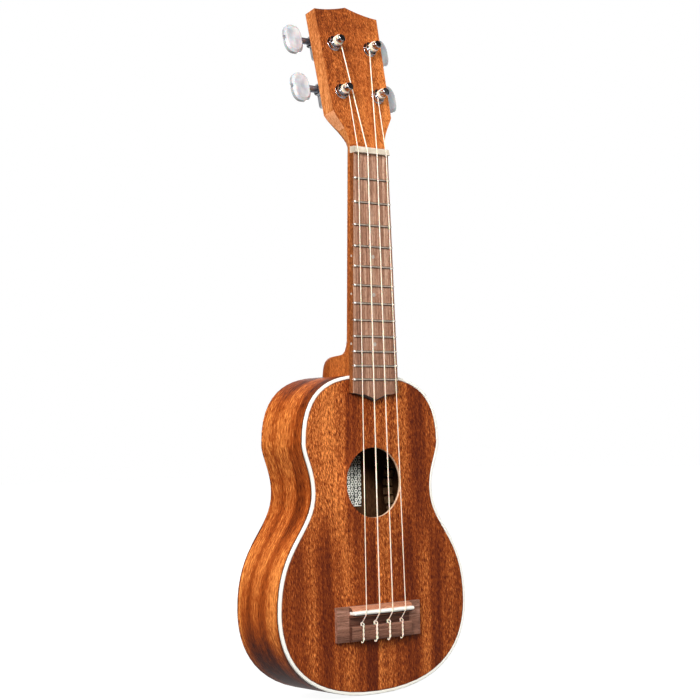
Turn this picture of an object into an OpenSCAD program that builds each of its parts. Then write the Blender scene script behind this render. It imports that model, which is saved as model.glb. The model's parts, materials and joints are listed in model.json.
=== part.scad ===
// Soprano ukulele, standing upright in its own frame.
// X runs to the right seen from the front, Y runs from front to back, Z runs up the neck.
// The origin is on the centre line, in the plane of the soundboard's face, at the nut's front edge.
// All sizes are in millimetres. "s" is the distance up the tilted head, measured along its face.

/* [Scale and fretboard] */
// Vibrating length of the open string, from nut to theoretical bridge line
scale_length = 345; // [335:1:355]
// Frets between the nut and the body, the last one at the body joint
fret_count = 12; // [11:1:13]
// Width of the fretboard at the nut
nut_width = 34.4; // [32:0.2:38]
// Width of the fretboard at the last fret
joint_width = 44.6; // [42:0.2:50]
// Thickness of the fretboard
board_thick = 4.4; // [3.5:0.1:6]
// From the last fret to the corners of the fretboard's pointed end
board_overrun = 10.2; // [7:0.2:14]
// How far the fretboard's point reaches past those corners
board_point = 6.3; // [3:0.1:9]

/* [Frets, nut and dots] */
// Height of a fret's crown over the fretboard
crown_high = 1.0; // [0.8:0.05:1.3]
// Width of a fret's crown
crown_wide = 2.0; // [1.6:0.1:2.6]
// Depth of the tang in its slot
tang_deep = 1.6; // [1:0.1:2.2]
// Thickness of the tang
tang_thick = 0.5; // [0.4:0.05:0.7]
// How far each fret stops short of the fretboard's edge
fret_inset = 0.4; // [0.2:0.1:1.2]
// Thickness of the nut along the neck
nut_thick = 5; // [3.5:0.1:6]
// Height of the string's underside over the first frets, at the nut
nut_action = 0.5; // [0.3:0.05:1]
// Distance between the outer strings at the nut
nut_spread = 27.8; // [26:0.1:29]
// Diameter of the dots on the fretboard's face
dot_wide = 3; // [2:0.1:6]
// Diameter of the dots on the fretboard's edge
side_dot_wide = 1.8; // [1.2:0.1:2.4]
// Depth of every dot
dot_deep = 1.2; // [0.8:0.1:2]

/* [Body] */
// Length of the body along the centre line
body_length = 241; // [230:1:255]
// Depth of the body over both plates
body_deep = 53; // [48:0.5:65]
// Width of the upper bout
upper_width = 134.4; // [126:0.5:142]
// Width of the waist
waist_width = 117.6; // [108:0.5:122]
// Width of the lower bout
lower_width = 184; // [172:0.5:195]
// From the top of the body down to the widest part of the upper bout
upper_drop = 51.5; // [46:0.5:56]
// From the top of the body down to the waist
waist_drop = 87.5; // [82:0.5:92]
// From the top of the body down to the widest part of the lower bout
lower_drop = 175; // [168:0.5:184]
// How far the body's top edge stands above the last fret
joint_lift = 3.7; // [2.5:0.1:5]
// Thickness of the soundboard
top_thick = 2.4; // [1.8:0.1:3]
// Thickness of the back plate
back_thick = 2.2; // [1.6:0.1:3]
// Thickness of the bent sides
rib_thick = 2; // [1.5:0.1:3]
// Width of the white edge binding, seen from the front
binding_wide = 2.5; // [2:0.1:4]
// Diameter of the sound hole
hole_wide = 53; // [46:0.5:56]
// From the top of the body down to the centre of the sound hole
hole_drop = 81.8; // [78:0.5:88]

/* [Inside the body] */
// Width of the kerfed linings, measured in from the sides
lining_wide = 5.5; // [4:0.5:7]
// Height of the kerfed linings
lining_high = 6; // [4:0.5:9]
// Width of the neck block
neck_block_wide = 50; // [42:1:56]
// Length of the neck block along the centre line
neck_block_long = 20; // [14:0.5:26]
// Width of the tail block
tail_block_wide = 46; // [36:1:56]
// Length of the tail block along the centre line
tail_block_long = 12; // [8:0.5:18]
// Height of the cross braces
brace_high = 9; // [6:0.5:12]
// Thickness of the cross braces
brace_thick = 6; // [4:0.5:8]
// Clear distance between the sound hole and the cross brace on each side of it
brace_off = 8; // [5:0.5:12]
// Height of the fan braces
fan_high = 5; // [4:0.5:7]
// Thickness of the fan braces
fan_thick = 4; // [3:0.5:5]
// Length of the fan braces
fan_long = 72; // [60:1:86]
// Distance between neighbouring fan braces under the bridge
fan_pitch = 30; // [20:1:36]
// Splay of the outer fan braces in degrees
fan_splay = 8; // [0:1:12]
// Thickness of the bridge plate
plate_thick = 2; // [1.5:0.1:3]
// Width of the bridge plate
plate_wide = 104; // [90:1:120]
// Length of the bridge plate along the centre line
plate_long = 34; // [28:1:42]
// Width of the paper label
label_wide = 57; // [40:1:62]
// Height of the paper label
label_high = 40; // [30:1:46]
// Thickness of the paper label
label_thick = 0.2; // [0.1:0.05:0.4]

/* [Bridge and saddle] */
// Width of the bridge over its wings
bridge_wide = 81.6; // [76:0.2:90]
// Length of the bridge along the strings
bridge_long = 26; // [24:0.2:30]
// Thickness of the wings
wing_high = 3; // [2:0.1:4]
// Width of the raised middle of the bridge
block_wide = 59; // [56:0.2:64]
// Height of the ridge that holds the saddle
ridge_high = 7; // [6:0.1:8]
// Height of the tie block
tie_high = 6.4; // [5.6:0.1:7.4]
// Length of the tie block along the strings
tie_long = 11.2; // [9:0.1:12]
// Height of the channel's floor between ridge and tie block
channel_high = 2.6; // [2:0.1:3.2]
// From the bridge's front edge to the saddle's centre line
saddle_set = 4.8; // [4:0.1:6]
// How far the saddle stands behind the theoretical bridge line
compensation = 1.8; // [0:0.1:3]
// Thickness of the saddle
saddle_thick = 3; // [2.4:0.1:3.4]
// Height of the saddle's crown over the soundboard
saddle_high = 10.7; // [9.5:0.1:12]
// Depth of the saddle's slot below the ridge
saddle_slot = 4.2; // [3:0.1:5]
// Distance between the outer strings at the saddle
saddle_spread = 38.6; // [36:0.2:42]

/* [Neck and heel] */
// Depth of the neck below the fretboard at the nut
neck_deep_nut = 11; // [10:0.5:14]
// Depth of the neck below the fretboard where the heel begins
neck_deep_heel = 13; // [12:0.5:16]
// Radius of the hollow where the heel leaves the neck
heel_hollow = 14; // [8:0.5:16]
// Radius of the heel's rounded back corner
heel_round = 12; // [8:0.5:14]
// Length of the heel's straight back end, down to the body
heel_foot = 3; // [2:0.5:8]
// Share of its width that the heel loses from the fretboard to its back end
heel_taper = 0.5; // [0.3:0.05:0.6]
// How far the heel's back end stays in front of the body's back
heel_short = 1; // [0.5:0.5:4]
// Diameter of the dowels between heel and neck block
dowel_wide = 8; // [6:0.5:10]
// Length of each dowel in the heel, and again in the sides and the neck block
dowel_reach = 12; // [8:0.5:15]
// Angle of the scarf joint between neck and head
scarf_angle = 15; // [12:1:20]

/* [Head] */
// Backward tilt of the head in degrees
head_tilt = 12.3; // [8:0.1:15]
// Thickness of the head
head_thick = 12; // [10:0.2:14]
// How far the head's face stands in front of the fretboard's underside, at the nut
head_front = 1.5; // [0.5:0.1:2.5]
// Width of the head at its lower corners
head_low_width = 58; // [54:0.5:64]
// Width of the head at its top corners
head_top_width = 62.4; // [58:0.5:68]
// From the nut up to the head's lower corners
head_low_at = 28; // [24:0.5:32]
// From the nut up to the head's top corners
head_top_at = 112; // [106:0.5:120]
// Rise of the head's middle point above its top corners
head_peak = 5.4; // [2:0.1:8]

/* [Tuning machines] */
// From the centre line to each post
post_out = 18; // [17:0.1:20]
// From the nut up to the lower pair of posts
post_low_at = 44.5; // [42:0.5:48]
// From the nut up to the upper pair of posts
post_high_at = 84.2; // [80:0.5:88]
// Diameter of a post
post_wide = 6; // [5:0.1:6.4]
// Height of a post over the head's face
post_high = 12; // [11:0.1:14]
// Running clearance on the radius of every shaft in its bearing
running_gap = 0.05; // [0.03:0.01:0.08]
// Distance between the axes of post and worm
gear_centres = 7.5; // [7.3:0.1:7.8]
// Teeth on the worm wheel
wheel_teeth = 14; // [14:1:16]
// Pitch diameter of the worm
worm_pitch_wide = 5; // [4.8:0.1:5.2]
// Play between worm thread and wheel teeth, measured round the wheel
gear_play = 0.42; // [0.4:0.01:0.5]
// Width of the wheel's face
wheel_face = 3.4; // [3:0.1:4]
// From the head's back to the worm's axis
worm_back = 5; // [5:0.1:6]
// Diameter of the button's shaft
stem_wide = 5.4; // [4.6:0.1:6]
// From the head's centre line to the middle of each button
button_out = 43.4; // [42.4:0.2:48]
// Size of a button along its shaft
button_long = 17; // [14:0.2:18]
// Height of a button across its shaft
button_high = 23; // [20:0.2:24]
// Thickness of a button
button_thick = 5.6; // [5:0.1:8]
// Width across the flats of a bushing's hexagon
hex_wide = 10; // [9:0.1:11]
// Height of a bushing's hexagon
hex_high = 2.2; // [1.6:0.1:3]
// Thickness of the washer under each bushing
washer_thick = 0.8; // [0.5:0.1:1.2]
// Thickness of the base plate between head and gear housing
base_thick = 1; // [0.8:0.1:1.4]

/* [Strings] */
// Diameter of the G string
string_g_wide = 0.7; // [0.5:0.05:1]
// Diameter of the C string
string_c_wide = 0.95; // [0.7:0.05:1.1]
// Diameter of the E string
string_e_wide = 0.85; // [0.6:0.05:1]
// Diameter of the A string
string_a_wide = 0.7; // [0.5:0.05:1]
// Turns of string on each post
coil_turns = 3; // [2:1:3]

/* [Hidden] */
$fn = 48;

eps = 0.01;
far = 400;

// ---- places along the neck ----
function fret_z(k) = -scale_length * (1 - pow(2, -k / 12));
last_fret_z = fret_z(fret_count);
body_top_z = last_fret_z + joint_lift;
board_corner_z = last_fret_z - board_overrun;
function board_half(z) =
    nut_width / 2 + (joint_width - nut_width) / 2 * z / last_fret_z;
crown_y = -board_thick - crown_high;

// ---- strings: name, place across from -1 to 1, diameter, post side, post place ----
strings = [
    ["g", -1, string_g_wide, -1, post_low_at],
    ["c", -1 / 3, string_c_wide, -1, post_high_at],
    ["e", 1 / 3, string_e_wide, 1, post_high_at],
    ["a", 1, string_a_wide, 1, post_low_at],
];
string_sides = 8;
tight_gap = 0.03;

// ---- body outline: half of it, as four curves from the top centre to the tail centre ----
curve_steps = 16;
tail_z = body_top_z - body_length;
upper_z = body_top_z - upper_drop;
waist_z = body_top_z - waist_drop;
lower_z = body_top_z - lower_drop;
hole_z = body_top_z - hole_drop;
// Reach of each curve's handles: how far the outline keeps its direction before it bends
top_reach = 21.5;
upper_reach = [1.035 * upper_drop, 9];
waist_reach = [16, 29];
lower_reach = [51, 23];
tail_reach = 0.89 * lower_width / 2;
outline_curves = [
    [[0, body_top_z], [top_reach, body_top_z],
        [upper_width / 2, upper_z + upper_reach[0]], [upper_width / 2, upper_z]],
    [[upper_width / 2, upper_z], [upper_width / 2, upper_z - upper_reach[1]],
        [waist_width / 2, waist_z + waist_reach[0]], [waist_width / 2, waist_z]],
    [[waist_width / 2, waist_z], [waist_width / 2, waist_z - waist_reach[1]],
        [lower_width / 2, lower_z + lower_reach[0]], [lower_width / 2, lower_z]],
    [[lower_width / 2, lower_z], [lower_width / 2, lower_z - lower_reach[1]],
        [tail_reach, tail_z], [0, tail_z]],
];
function bezier(p, t) =
    pow(1 - t, 3) * p[0] + 3 * t * pow(1 - t, 2) * p[1]
    + 3 * t * t * (1 - t) * p[2] + pow(t, 3) * p[3];
function bezier_slope(p, t) =
    pow(1 - t, 2) * (p[1] - p[0]) + 2 * t * (1 - t) * (p[2] - p[1]) + t * t * (p[3] - p[2]);
function inward(d) = [d[1], -d[0]] / norm(d);
function inset_point(p, t, inset) = bezier(p, t) + inset * inward(bezier_slope(p, t));
function half_outline(inset) = concat(
    [for (p = outline_curves) for (i = [0:curve_steps - 1]) inset_point(p, i / curve_steps, inset)],
    [[0, tail_z + inset]]
);
function reversed(list) = [for (i = [len(list) - 1:-1:0]) list[i]];
function mirrored(list) = [for (p = list) [-p[0], p[1]]];
function without_ends(list) = [for (i = [1:len(list) - 2]) list[i]];
function without_last(list) = [for (i = [0:len(list) - 2]) list[i]];
// A right half that ends on the centre line, with its mirror image
function both_halves(list) = concat(list, mirrored(reversed(without_last(list))));

// Puts a flat shape drawn in X and Z upright, from y to y + thick.
module upright(y, thick) {
    translate([0, y + thick, 0])
        rotate([90, 0, 0])
            linear_extrude(thick)
                children();
}

module body_slab(inset, y, thick) {
    upright(y, thick)
        polygon(concat(half_outline(inset), mirrored(reversed(without_ends(half_outline(inset))))));
}

// Half of a band that follows the outline, between two insets.
module half_band(side, outer, inner, y, thick) {
    mirror([side < 0 ? 1 : 0, 0, 0])
        upright(y, thick)
            polygon(concat(half_outline(outer), reversed(half_outline(inner))));
}

module box_between(low, high) {
    translate(low)
        cube(high - low);
}

// ---- body shell ----
inner_deep = body_deep - back_thick;
module sound_hole_cut() {
    translate([0, -1, hole_z])
        rotate([-90, 0, 0])
            cylinder(d = hole_wide, h = top_thick + 2, $fn = 96);
}

module soundboard() {
    color("sienna")
        difference() {
            body_slab(binding_wide, 0, top_thick);
            sound_hole_cut();
        }
}

module back_plate() {
    color("sienna")
        body_slab(0, inner_deep, back_thick);
}

module rib(side) {
    color("peru")
        difference() {
            half_band(side, 0, rib_thick, top_thick, inner_deep - top_thick);
            dowel_shapes();
        }
}

module binding() {
    color("ivory") {
        half_band(1, 0, binding_wide, 0, top_thick);
        half_band(-1, 0, binding_wide, 0, top_thick);
    }
}

// ---- inside the body ----
neck_block_z = body_top_z - rib_thick - neck_block_long;
tail_block_z = tail_z + rib_thick + tail_block_long;

module neck_block() {
    color("burlywood")
        difference() {
            intersection() {
                body_slab(rib_thick, top_thick, inner_deep - top_thick);
                box_between([-neck_block_wide / 2, 0, neck_block_z],
                    [neck_block_wide / 2, body_deep, body_top_z]);
            }
            dowel_shapes();
        }
}

module tail_block() {
    color("burlywood")
        intersection() {
            body_slab(rib_thick, top_thick, inner_deep - top_thick);
            box_between([-tail_block_wide / 2, 0, tail_z],
                [tail_block_wide / 2, body_deep, tail_block_z]);
        }
}

module lining(y) {
    color("tan")
        difference() {
            union() {
                half_band(1, rib_thick, rib_thick + lining_wide, y, lining_high);
                half_band(-1, rib_thick, rib_thick + lining_wide, y, lining_high);
            }
            box_between([-neck_block_wide / 2, y - 1, hole_z],
                [neck_block_wide / 2, y + lining_high + 1, body_top_z]);
            box_between([-tail_block_wide / 2, y - 1, tail_z - 1],
                [tail_block_wide / 2, y + lining_high + 1, lower_z]);
        }
}

module cross_brace(z, y) {
    intersection() {
        body_slab(rib_thick + lining_wide, y, brace_high);
        box_between([-far, y, z - brace_thick / 2], [far, y + brace_high, z + brace_thick / 2]);
    }
}

brace_gap = hole_wide / 2 + brace_off + brace_thick / 2;
module cross_braces_front() {
    color("wheat") {
        cross_brace(hole_z + brace_gap, top_thick);
        cross_brace(hole_z - brace_gap, top_thick);
    }
}

module cross_braces_back() {
    back_y = inner_deep - brace_high;
    color("wheat") {
        cross_brace(hole_z + brace_gap, back_y);
        cross_brace(lower_z, back_y);
    }
}

bridge_front_z = -(scale_length + compensation) + saddle_set;
bridge_rear_z = bridge_front_z - bridge_long;
bridge_mid_z = (bridge_front_z + bridge_rear_z) / 2;

module bridge_plate_shape(grow) {
    box_between([-plate_wide / 2 - grow, top_thick - grow, bridge_mid_z - plate_long / 2 - grow],
        [plate_wide / 2 + grow, top_thick + plate_thick, bridge_mid_z + plate_long / 2 + grow]);
}

module bridge_plate() {
    color("burlywood")
        bridge_plate_shape(0);
}

fan_off = 3;
fan_foot_z = tail_block_z + fan_off;
module fan_braces() {
    color("wheat")
        difference() {
            for (i = [-1:1])
                translate([i * fan_pitch, top_thick, fan_foot_z])
                    rotate([0, -i * fan_splay, 0])
                        translate([-fan_thick / 2, 0, 0])
                            cube([fan_thick, fan_high, fan_long]);
            bridge_plate_shape(0);
        }
}

module paper_label() {
    color("white")
        translate([-label_wide / 2, inner_deep - label_thick, hole_z - label_high / 2])
            cube([label_wide, label_thick, label_high]);
}

// ---- neck and head: one run of cross-sections, cut apart along the scarf joint ----
// Each section: [front edge's z, front edge's y, turn, depth, half width, corner radii, taper]
heel_back = body_deep - heel_short;
heel_drop = heel_back - neck_deep_heel;
heel_turn = 87;
heel_extra = 4;
hollow_y = heel_hollow * (1 - cos(heel_turn));
round_y = heel_round * (1 - cos(heel_turn));
shelf_y = heel_drop - hollow_y - round_y;
hollow_z = heel_hollow * sin(heel_turn);
shelf_z = shelf_y / tan(heel_turn);
round_z = heel_round * sin(heel_turn);
heel_start_z = body_top_z + heel_foot + round_z + shelf_z + hollow_z;
heel_path = concat(
    [for (i = [1:6]) let (a = i * heel_turn / 6)
        [heel_start_z - heel_hollow * sin(a), neck_deep_heel + heel_hollow * (1 - cos(a))]],
    [for (i = [6:-1:0]) let (a = i * heel_turn / 6)
        [body_top_z + heel_foot + heel_round * sin(a), heel_back - heel_round * (1 - cos(a))]],
    [[body_top_z - heel_extra, heel_back]]
);
side_wall = 0.4;
function smooth(t) = t * t * (3 - 2 * t);
function neck_section(z, back) = let (
        u = max(0, (back - neck_deep_heel) / heel_drop),
        half = board_half(z),
        deep = head_front + back
    ) [z, -head_front, 0, deep, half, half + (heel_round - half) * u,
        deep - head_front - side_wall + (heel_round - back) * u, heel_taper * u];

// A section between heel and nut, where the neck gets evenly thinner
function plain_section(z) =
    neck_section(z, neck_deep_nut + (neck_deep_heel - neck_deep_nut) * z / heel_start_z);

// The head's flare, from the nut to the lower corner, as a curve of half width and s
flare = [[nut_width / 2, 0], [nut_width / 2, head_low_at * 0.42],
    [head_low_width / 2 - 6, head_low_at * 0.62], [head_low_width / 2, head_low_at]];
flare_steps = 8;
edge_round = 0.5;
head_blend = 8;
function head_section(s, half) = let (
        turn = head_tilt * min(1, s / head_blend),
        square = smooth(min(1, s / head_low_at))
    ) [nut_thick + s * cos(head_tilt), -head_front + s * sin(head_tilt), turn, head_thick, half,
        half + (edge_round - half) * square,
        head_thick - head_front - side_wall
            + (edge_round - head_thick + head_front + side_wall) * square, 0];
head_full_at = head_top_at + head_peak;
function head_half(s) = head_low_width / 2
    + (head_top_width - head_low_width) / 2 * (s - head_low_at) / (head_top_at - head_low_at);
neck_sections = concat(
    [for (i = [len(heel_path) - 1:-1:0]) neck_section(heel_path[i][0], heel_path[i][1])],
    [for (i = [0:4]) plain_section(heel_start_z * (1 - i / 4))],
    [neck_section(nut_thick, neck_deep_nut)]
);
head_sections = concat(
    [for (i = [0:flare_steps]) let (p = bezier(flare, i / flare_steps)) head_section(p[1], p[0])],
    [head_section(head_full_at, head_half(head_full_at))]
);
// The head's run starts down the neck, so that the scarf joint cuts it through
scarf_sections = concat(
    [plain_section(heel_start_z / 2), plain_section(heel_start_z / 4), plain_section(0)],
    head_sections
);
section_steps = 9;
function section_ring(c) = let (
        right = concat([[c[4], 0]], [for (i = [0:section_steps]) let (
            a = 90 * i / section_steps,
            x = c[4] - c[5] + c[5] * cos(a),
            y = c[3] - c[6] + c[6] * sin(a)
        ) [x * (1 - c[7] * y / c[3]), y]]),
        ring = concat(right, mirrored(reversed(right)))
    ) [for (p = ring) [p[0], c[1] + p[1] * cos(c[2]), c[0] - p[1] * sin(c[2])]];

// A solid through rings of points that all have the same count
module loft(rings) {
    n = len(rings[0]);
    m = len(rings);
    polyhedron(
        points = [for (r = rings) for (p = r) p],
        faces = concat(
            [[for (i = [0:n - 1]) i]],
            [[for (i = [n - 1:-1:0]) (m - 1) * n + i]],
            [for (j = [0:m - 2]) for (i = [0:n - 1]) let (k = (i + 1) % n)
                [j * n + i, (j + 1) * n + i, (j + 1) * n + k]],
            [for (j = [0:m - 2]) for (i = [0:n - 1]) let (k = (i + 1) % n)
                [j * n + i, (j + 1) * n + k, j * n + k]]
        )
    );
}

// Everything behind the scarf joint, which runs from the nut's rear edge back and down the neck
module behind_scarf() {
    translate([0, 0, nut_thick])
        rotate([scarf_angle, 0, 0])
            translate([-far, 0, -far])
                cube([2 * far, far, 2 * far]);
}

module board_and_nut_seat() {
    box_between([-far, -far, -far * 2], [far, 0, nut_thick]);
}

dowel_in = [14, 16];
dowel_y = [dowel_in[0], heel_back - dowel_in[1]];
module dowel_shapes() {
    for (y = dowel_y)
        translate([0, y, body_top_z - dowel_reach])
            cylinder(d = dowel_wide, h = 2 * dowel_reach);
}

module neck() {
    color("chocolate")
        difference() {
            loft([for (c = neck_sections) section_ring(c)]);
            board_and_nut_seat();
            behind_scarf();
            body_slab(0, -1, body_deep + 2);
            dowel_shapes();
        }
}

module neck_dowels() {
    color("burlywood")
        dowel_shapes();
}

// Places children in the head's own frame: face at y = 0, s along z
module at_head() {
    translate([0, -head_front, nut_thick])
        rotate([-head_tilt, 0, 0])
            children();
}

top_steps = 10;
function top_edge(t) = [head_top_width / 2 * (1 - t), head_top_at + head_peak * pow(t, 1.7)];

module head_top_cut() {
    edge = [for (i = [0:top_steps]) top_edge(i / top_steps)];
    side = head_top_width;
    high = head_top_at + 4 * head_peak;
    upright(-head_thick / 2, 2 * head_thick)
        polygon(concat([[-side, head_top_at], [-side, high], [side, high], [side, head_top_at]],
            both_halves(edge)));
}

module at_tuner(side, s) {
    at_head()
        translate([side * post_out, 0, s])
            mirror([side < 0 ? 1 : 0, 0, 0])
                children();
}

module y_cylinder(r, from, to, sides = 48) {
    translate([0, from, 0])
        rotate([-90, 0, 0])
            cylinder(r = r, h = to - from, $fn = sides);
}

module x_cylinder(r, from, to, sides = 48) {
    translate([from, 0, 0])
        rotate([0, 90, 0])
            cylinder(r = r, h = to - from, $fn = sides);
}

bushing_r = post_wide / 2 + 1.1;
module headstock() {
    color("chocolate")
        difference() {
            intersection() {
                loft([for (c = scarf_sections) section_ring(c)]);
                behind_scarf();
            }
            board_and_nut_seat();
            at_head()
                head_top_cut();
            for (t = strings)
                at_tuner(t[3], t[4]) {
                    y_cylinder(bushing_r + running_gap, -1, head_thick + 1);
                    translate([0, 0, screw_drop])
                        y_cylinder(screw_r, head_thick - screw_deep, head_thick + 1);
                }
        }
}

// ---- fretboard, frets, dots and nut ----
module fretboard() {
    tip_curve = [for (i = [0:6]) let (t = i / 6)
        [board_half(board_corner_z) * (1 - t), board_corner_z - board_point * pow(t, 1.5)]];
    color("rosybrown")
        difference() {
            upright(-board_thick, board_thick)
                polygon(both_halves(concat([[nut_width / 2, 0]], tip_curve)));
            for (k = [1:fret_count])
                translate([-far / 4, -board_thick - 1, fret_z(k) - tang_thick / 2])
                    cube([far / 2, tang_deep + 1, tang_thick]);
            dot_shapes();
        }
}

module frets() {
    color("silver")
        for (k = [1:fret_count]) {
            half = board_half(fret_z(k)) - fret_inset;
            translate([-half, -board_thick, fret_z(k)])
                rotate([0, 90, 0])
                    linear_extrude(2 * half)
                        polygon(concat(
                            [for (i = [0:8]) [crown_wide / 2 * cos(i * 22.5), -crown_high * sin(i * 22.5)]],
                            [[-tang_thick / 2, 0], [-tang_thick / 2, tang_deep],
                                [tang_thick / 2, tang_deep], [tang_thick / 2, 0]]));
        }
}

dot_frets = [5, 7, 10];
function dot_z(k) = (fret_z(k) + fret_z(k - 1)) / 2;
module dot_shapes() {
    for (k = dot_frets) {
        translate([0, 0, dot_z(k)])
            y_cylinder(dot_wide / 2, -board_thick, -board_thick + dot_deep, 24);
        translate([-board_half(dot_z(k)) - 0.05, -board_thick / 2, dot_z(k)])
            x_cylinder(side_dot_wide / 2, 0, dot_deep, 24);
    }
}

module position_dots() {
    color("whitesmoke")
        dot_shapes();
}

function nut_string_y(t) = crown_y - nut_action - t[2] / 2;
nut_lip = 0.7;
nut_top = -crown_y + nut_action + nut_lip;
nut_slope = 12;
nut_front_edge = 0.4;
nut_rear_edge = 0.6;
nut_rear = nut_top - (nut_thick - nut_front_edge - nut_rear_edge) * tan(nut_slope);
module nut() {
    color("ivory")
        difference() {
            translate([-nut_width / 2, 0, 0])
                rotate([90, 0, 90])
                    linear_extrude(nut_width)
                        polygon([
                            [0, 0],
                            [-nut_top + nut_front_edge, 0],
                            [-nut_top, nut_front_edge],
                            [-nut_rear, nut_thick - nut_rear_edge],
                            [-nut_rear + nut_rear_edge, nut_thick],
                            [0, nut_thick],
                        ]);
            for (t = strings)
                string_groove(t);
        }
}

// The string runs from the nut's front edge to its post, and this groove follows it both ways
module string_groove(t) {
    r = t[2] / 2 + tight_gap;
    start = nut_point(t);
    long = nut_thick + 4;
    for (way = [[start, post_point(t)], [start, saddle_point(t)]])
        along(way[0], way[1]) {
            translate([0, 0, -1])
                cylinder(r = r, h = long, $fn = 24);
            translate([-r, -nut_top, -1])
                cube([2 * r, nut_top, long]);
        }
}

// Turns local z to point from a to b, with local -y kept to the front
module along(a, b) {
    d = b - a;
    tip = atan2(norm([d[0], 0]) * sign(d[0]), d[2]);
    lean = asin(-d[1] / norm(d));
    translate(a)
        rotate([0, tip, 0])
            rotate([lean, 0, 0])
                children();
}

// ---- bridge and saddle ----
saddle_z = bridge_front_z - saddle_set;
tie_front_z = bridge_rear_z + tie_long;
tie_hole_up = 1.7;
tie_hole_gap = 0.15;
tie_hole_high = channel_high + tie_hole_up;
ridge_wall = 1.7;
ridge_rear_z = saddle_z - saddle_thick / 2 - ridge_wall;
ridge_slope = 0.8;
front_edge = [1, 1.2, 2.4];
block_edge = 0.6;
rear_edge = [0.4, 1.4, 1];
saddle_floor = ridge_high - saddle_slot;

module bridge() {
    color("dimgray")
        difference() {
            union() {
                box_between([-bridge_wide / 2, -wing_high, bridge_rear_z],
                    [bridge_wide / 2, 0, bridge_front_z]);
                translate([-block_wide / 2, 0, 0])
                    rotate([90, 0, 90])
                        linear_extrude(block_wide)
                            polygon([
                                [0, bridge_front_z],
                                [-wing_high, bridge_front_z],
                                [-ridge_high + front_edge[0], bridge_front_z - front_edge[1]],
                                [-ridge_high, bridge_front_z - front_edge[2]],
                                [-ridge_high, ridge_rear_z + block_edge],
                                [-ridge_high + block_edge, ridge_rear_z],
                                [-channel_high, ridge_rear_z - ridge_slope],
                                [-channel_high, tie_front_z],
                                [-tie_high + block_edge, tie_front_z],
                                [-tie_high, tie_front_z - block_edge],
                                [-tie_high + rear_edge[0], bridge_rear_z + rear_edge[2]],
                                [-tie_high + rear_edge[1], bridge_rear_z],
                                [0, bridge_rear_z],
                            ]);
            }
            box_between([-block_wide / 2 - 1, -ridge_high - 1, saddle_z - saddle_thick / 2],
                [block_wide / 2 + 1, -saddle_floor, saddle_z + saddle_thick / 2]);
            for (t = strings)
                translate([t[1] * saddle_spread / 2, -tie_hole_high, bridge_rear_z - 1])
                    cylinder(r = t[2] / 2 + tie_hole_gap, h = tie_long + 2, $fn = 24);
        }
}

crown_r = saddle_thick / 2;
saddle_short = 0.5;
saddle_half = block_wide / 2 - saddle_short;
module saddle() {
    color("ivory")
        translate([-saddle_half, 0, saddle_z]) {
            translate([0, -saddle_high + crown_r, 0])
                x_cylinder(crown_r, 0, 2 * saddle_half);
            translate([0, -saddle_high + crown_r, -saddle_thick / 2])
                cube([2 * saddle_half, saddle_high - crown_r - saddle_floor, saddle_thick]);
        }
}

// ---- strings ----
coil_low = hex_high + washer_thick + 1.2;
function coil_y(t, i) = -coil_low - t[2] * (0.5 + 0.95 * i);
coil_gap = 0.12;
function coil_r(t) = post_wide / 2 + coil_gap + t[2] / 2;
hole_up = post_high - 2.4;

function head_point(x, y, s) = [x, -head_front + y * cos(head_tilt) + s * sin(head_tilt),
    nut_thick - y * sin(head_tilt) + s * cos(head_tilt)];
function nut_point(t) = [t[1] * nut_spread / 2, nut_string_y(t), 0.2];
function saddle_point(t) = [t[1] * saddle_spread / 2, -saddle_high - t[2] / 2 - tight_gap, saddle_z];
// Where the string would meet the coil on the inner side of its post, and where it stops short of that
function post_point(t) = head_point(t[3] * (post_out - coil_r(t)), coil_y(t, 0), t[4]);
coil_clear = 0.2;
function stop_short(t) = sqrt(pow(coil_r(t) + t[2] + coil_clear, 2) - pow(coil_r(t), 2));
function end_point(t) = let (a = nut_point(t), b = post_point(t), d = b - a)
    b - d / norm(d) * stop_short(t);

function tie_path(t) = let (
        x = t[1] * saddle_spread / 2,
        r = t[2] / 2,
        wrap = crown_r + r + tight_gap,
        drop_to = [x, -tie_hole_high, tie_front_z + 0.6],
        rear = bridge_rear_z - r - 0.25,
        over = -tie_high - r - 0.1
    ) concat(
        [[x, over, tie_front_z + 0.4], [x, over, tie_front_z - 1.5], [x, over, bridge_rear_z + 2],
            [x, over + 0.8, bridge_rear_z + 0.4], [x, over + 1.9, rear],
            [x, -tie_hole_high - 0.7, rear - 0.1], [x, -tie_hole_high - 0.2, rear + 0.15],
            [x, -tie_hole_high, bridge_rear_z + 0.4], drop_to],
        [for (i = [5:-1:0]) let (a = i * 7)
            [x, -saddle_high + crown_r - wrap * cos(a), saddle_z - wrap * sin(a)]]
    );
function string_path(t) = concat(tie_path(t), [nut_point(t) - [0, 0, 0.6], nut_point(t) + [0, 0.1, 0.8],
    end_point(t)]);

function unit(v) = v / norm(v);
function ring_at(path, i, r) = let (
        a = path[max(0, i - 1)],
        b = path[min(len(path) - 1, i + 1)],
        way = unit(b - a),
        side = unit([1, 0, 0] - way * way[0]),
        up = cross(way, side)
    ) [for (k = [0:string_sides - 1]) let (g = 360 * k / string_sides)
        path[i] + r * (cos(g) * side + sin(g) * up)];

module string(t) {
    color("white")
        loft([for (i = [len(string_path(t)) - 1:-1:0]) ring_at(string_path(t), i, t[2] / 2)]);
}

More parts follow.
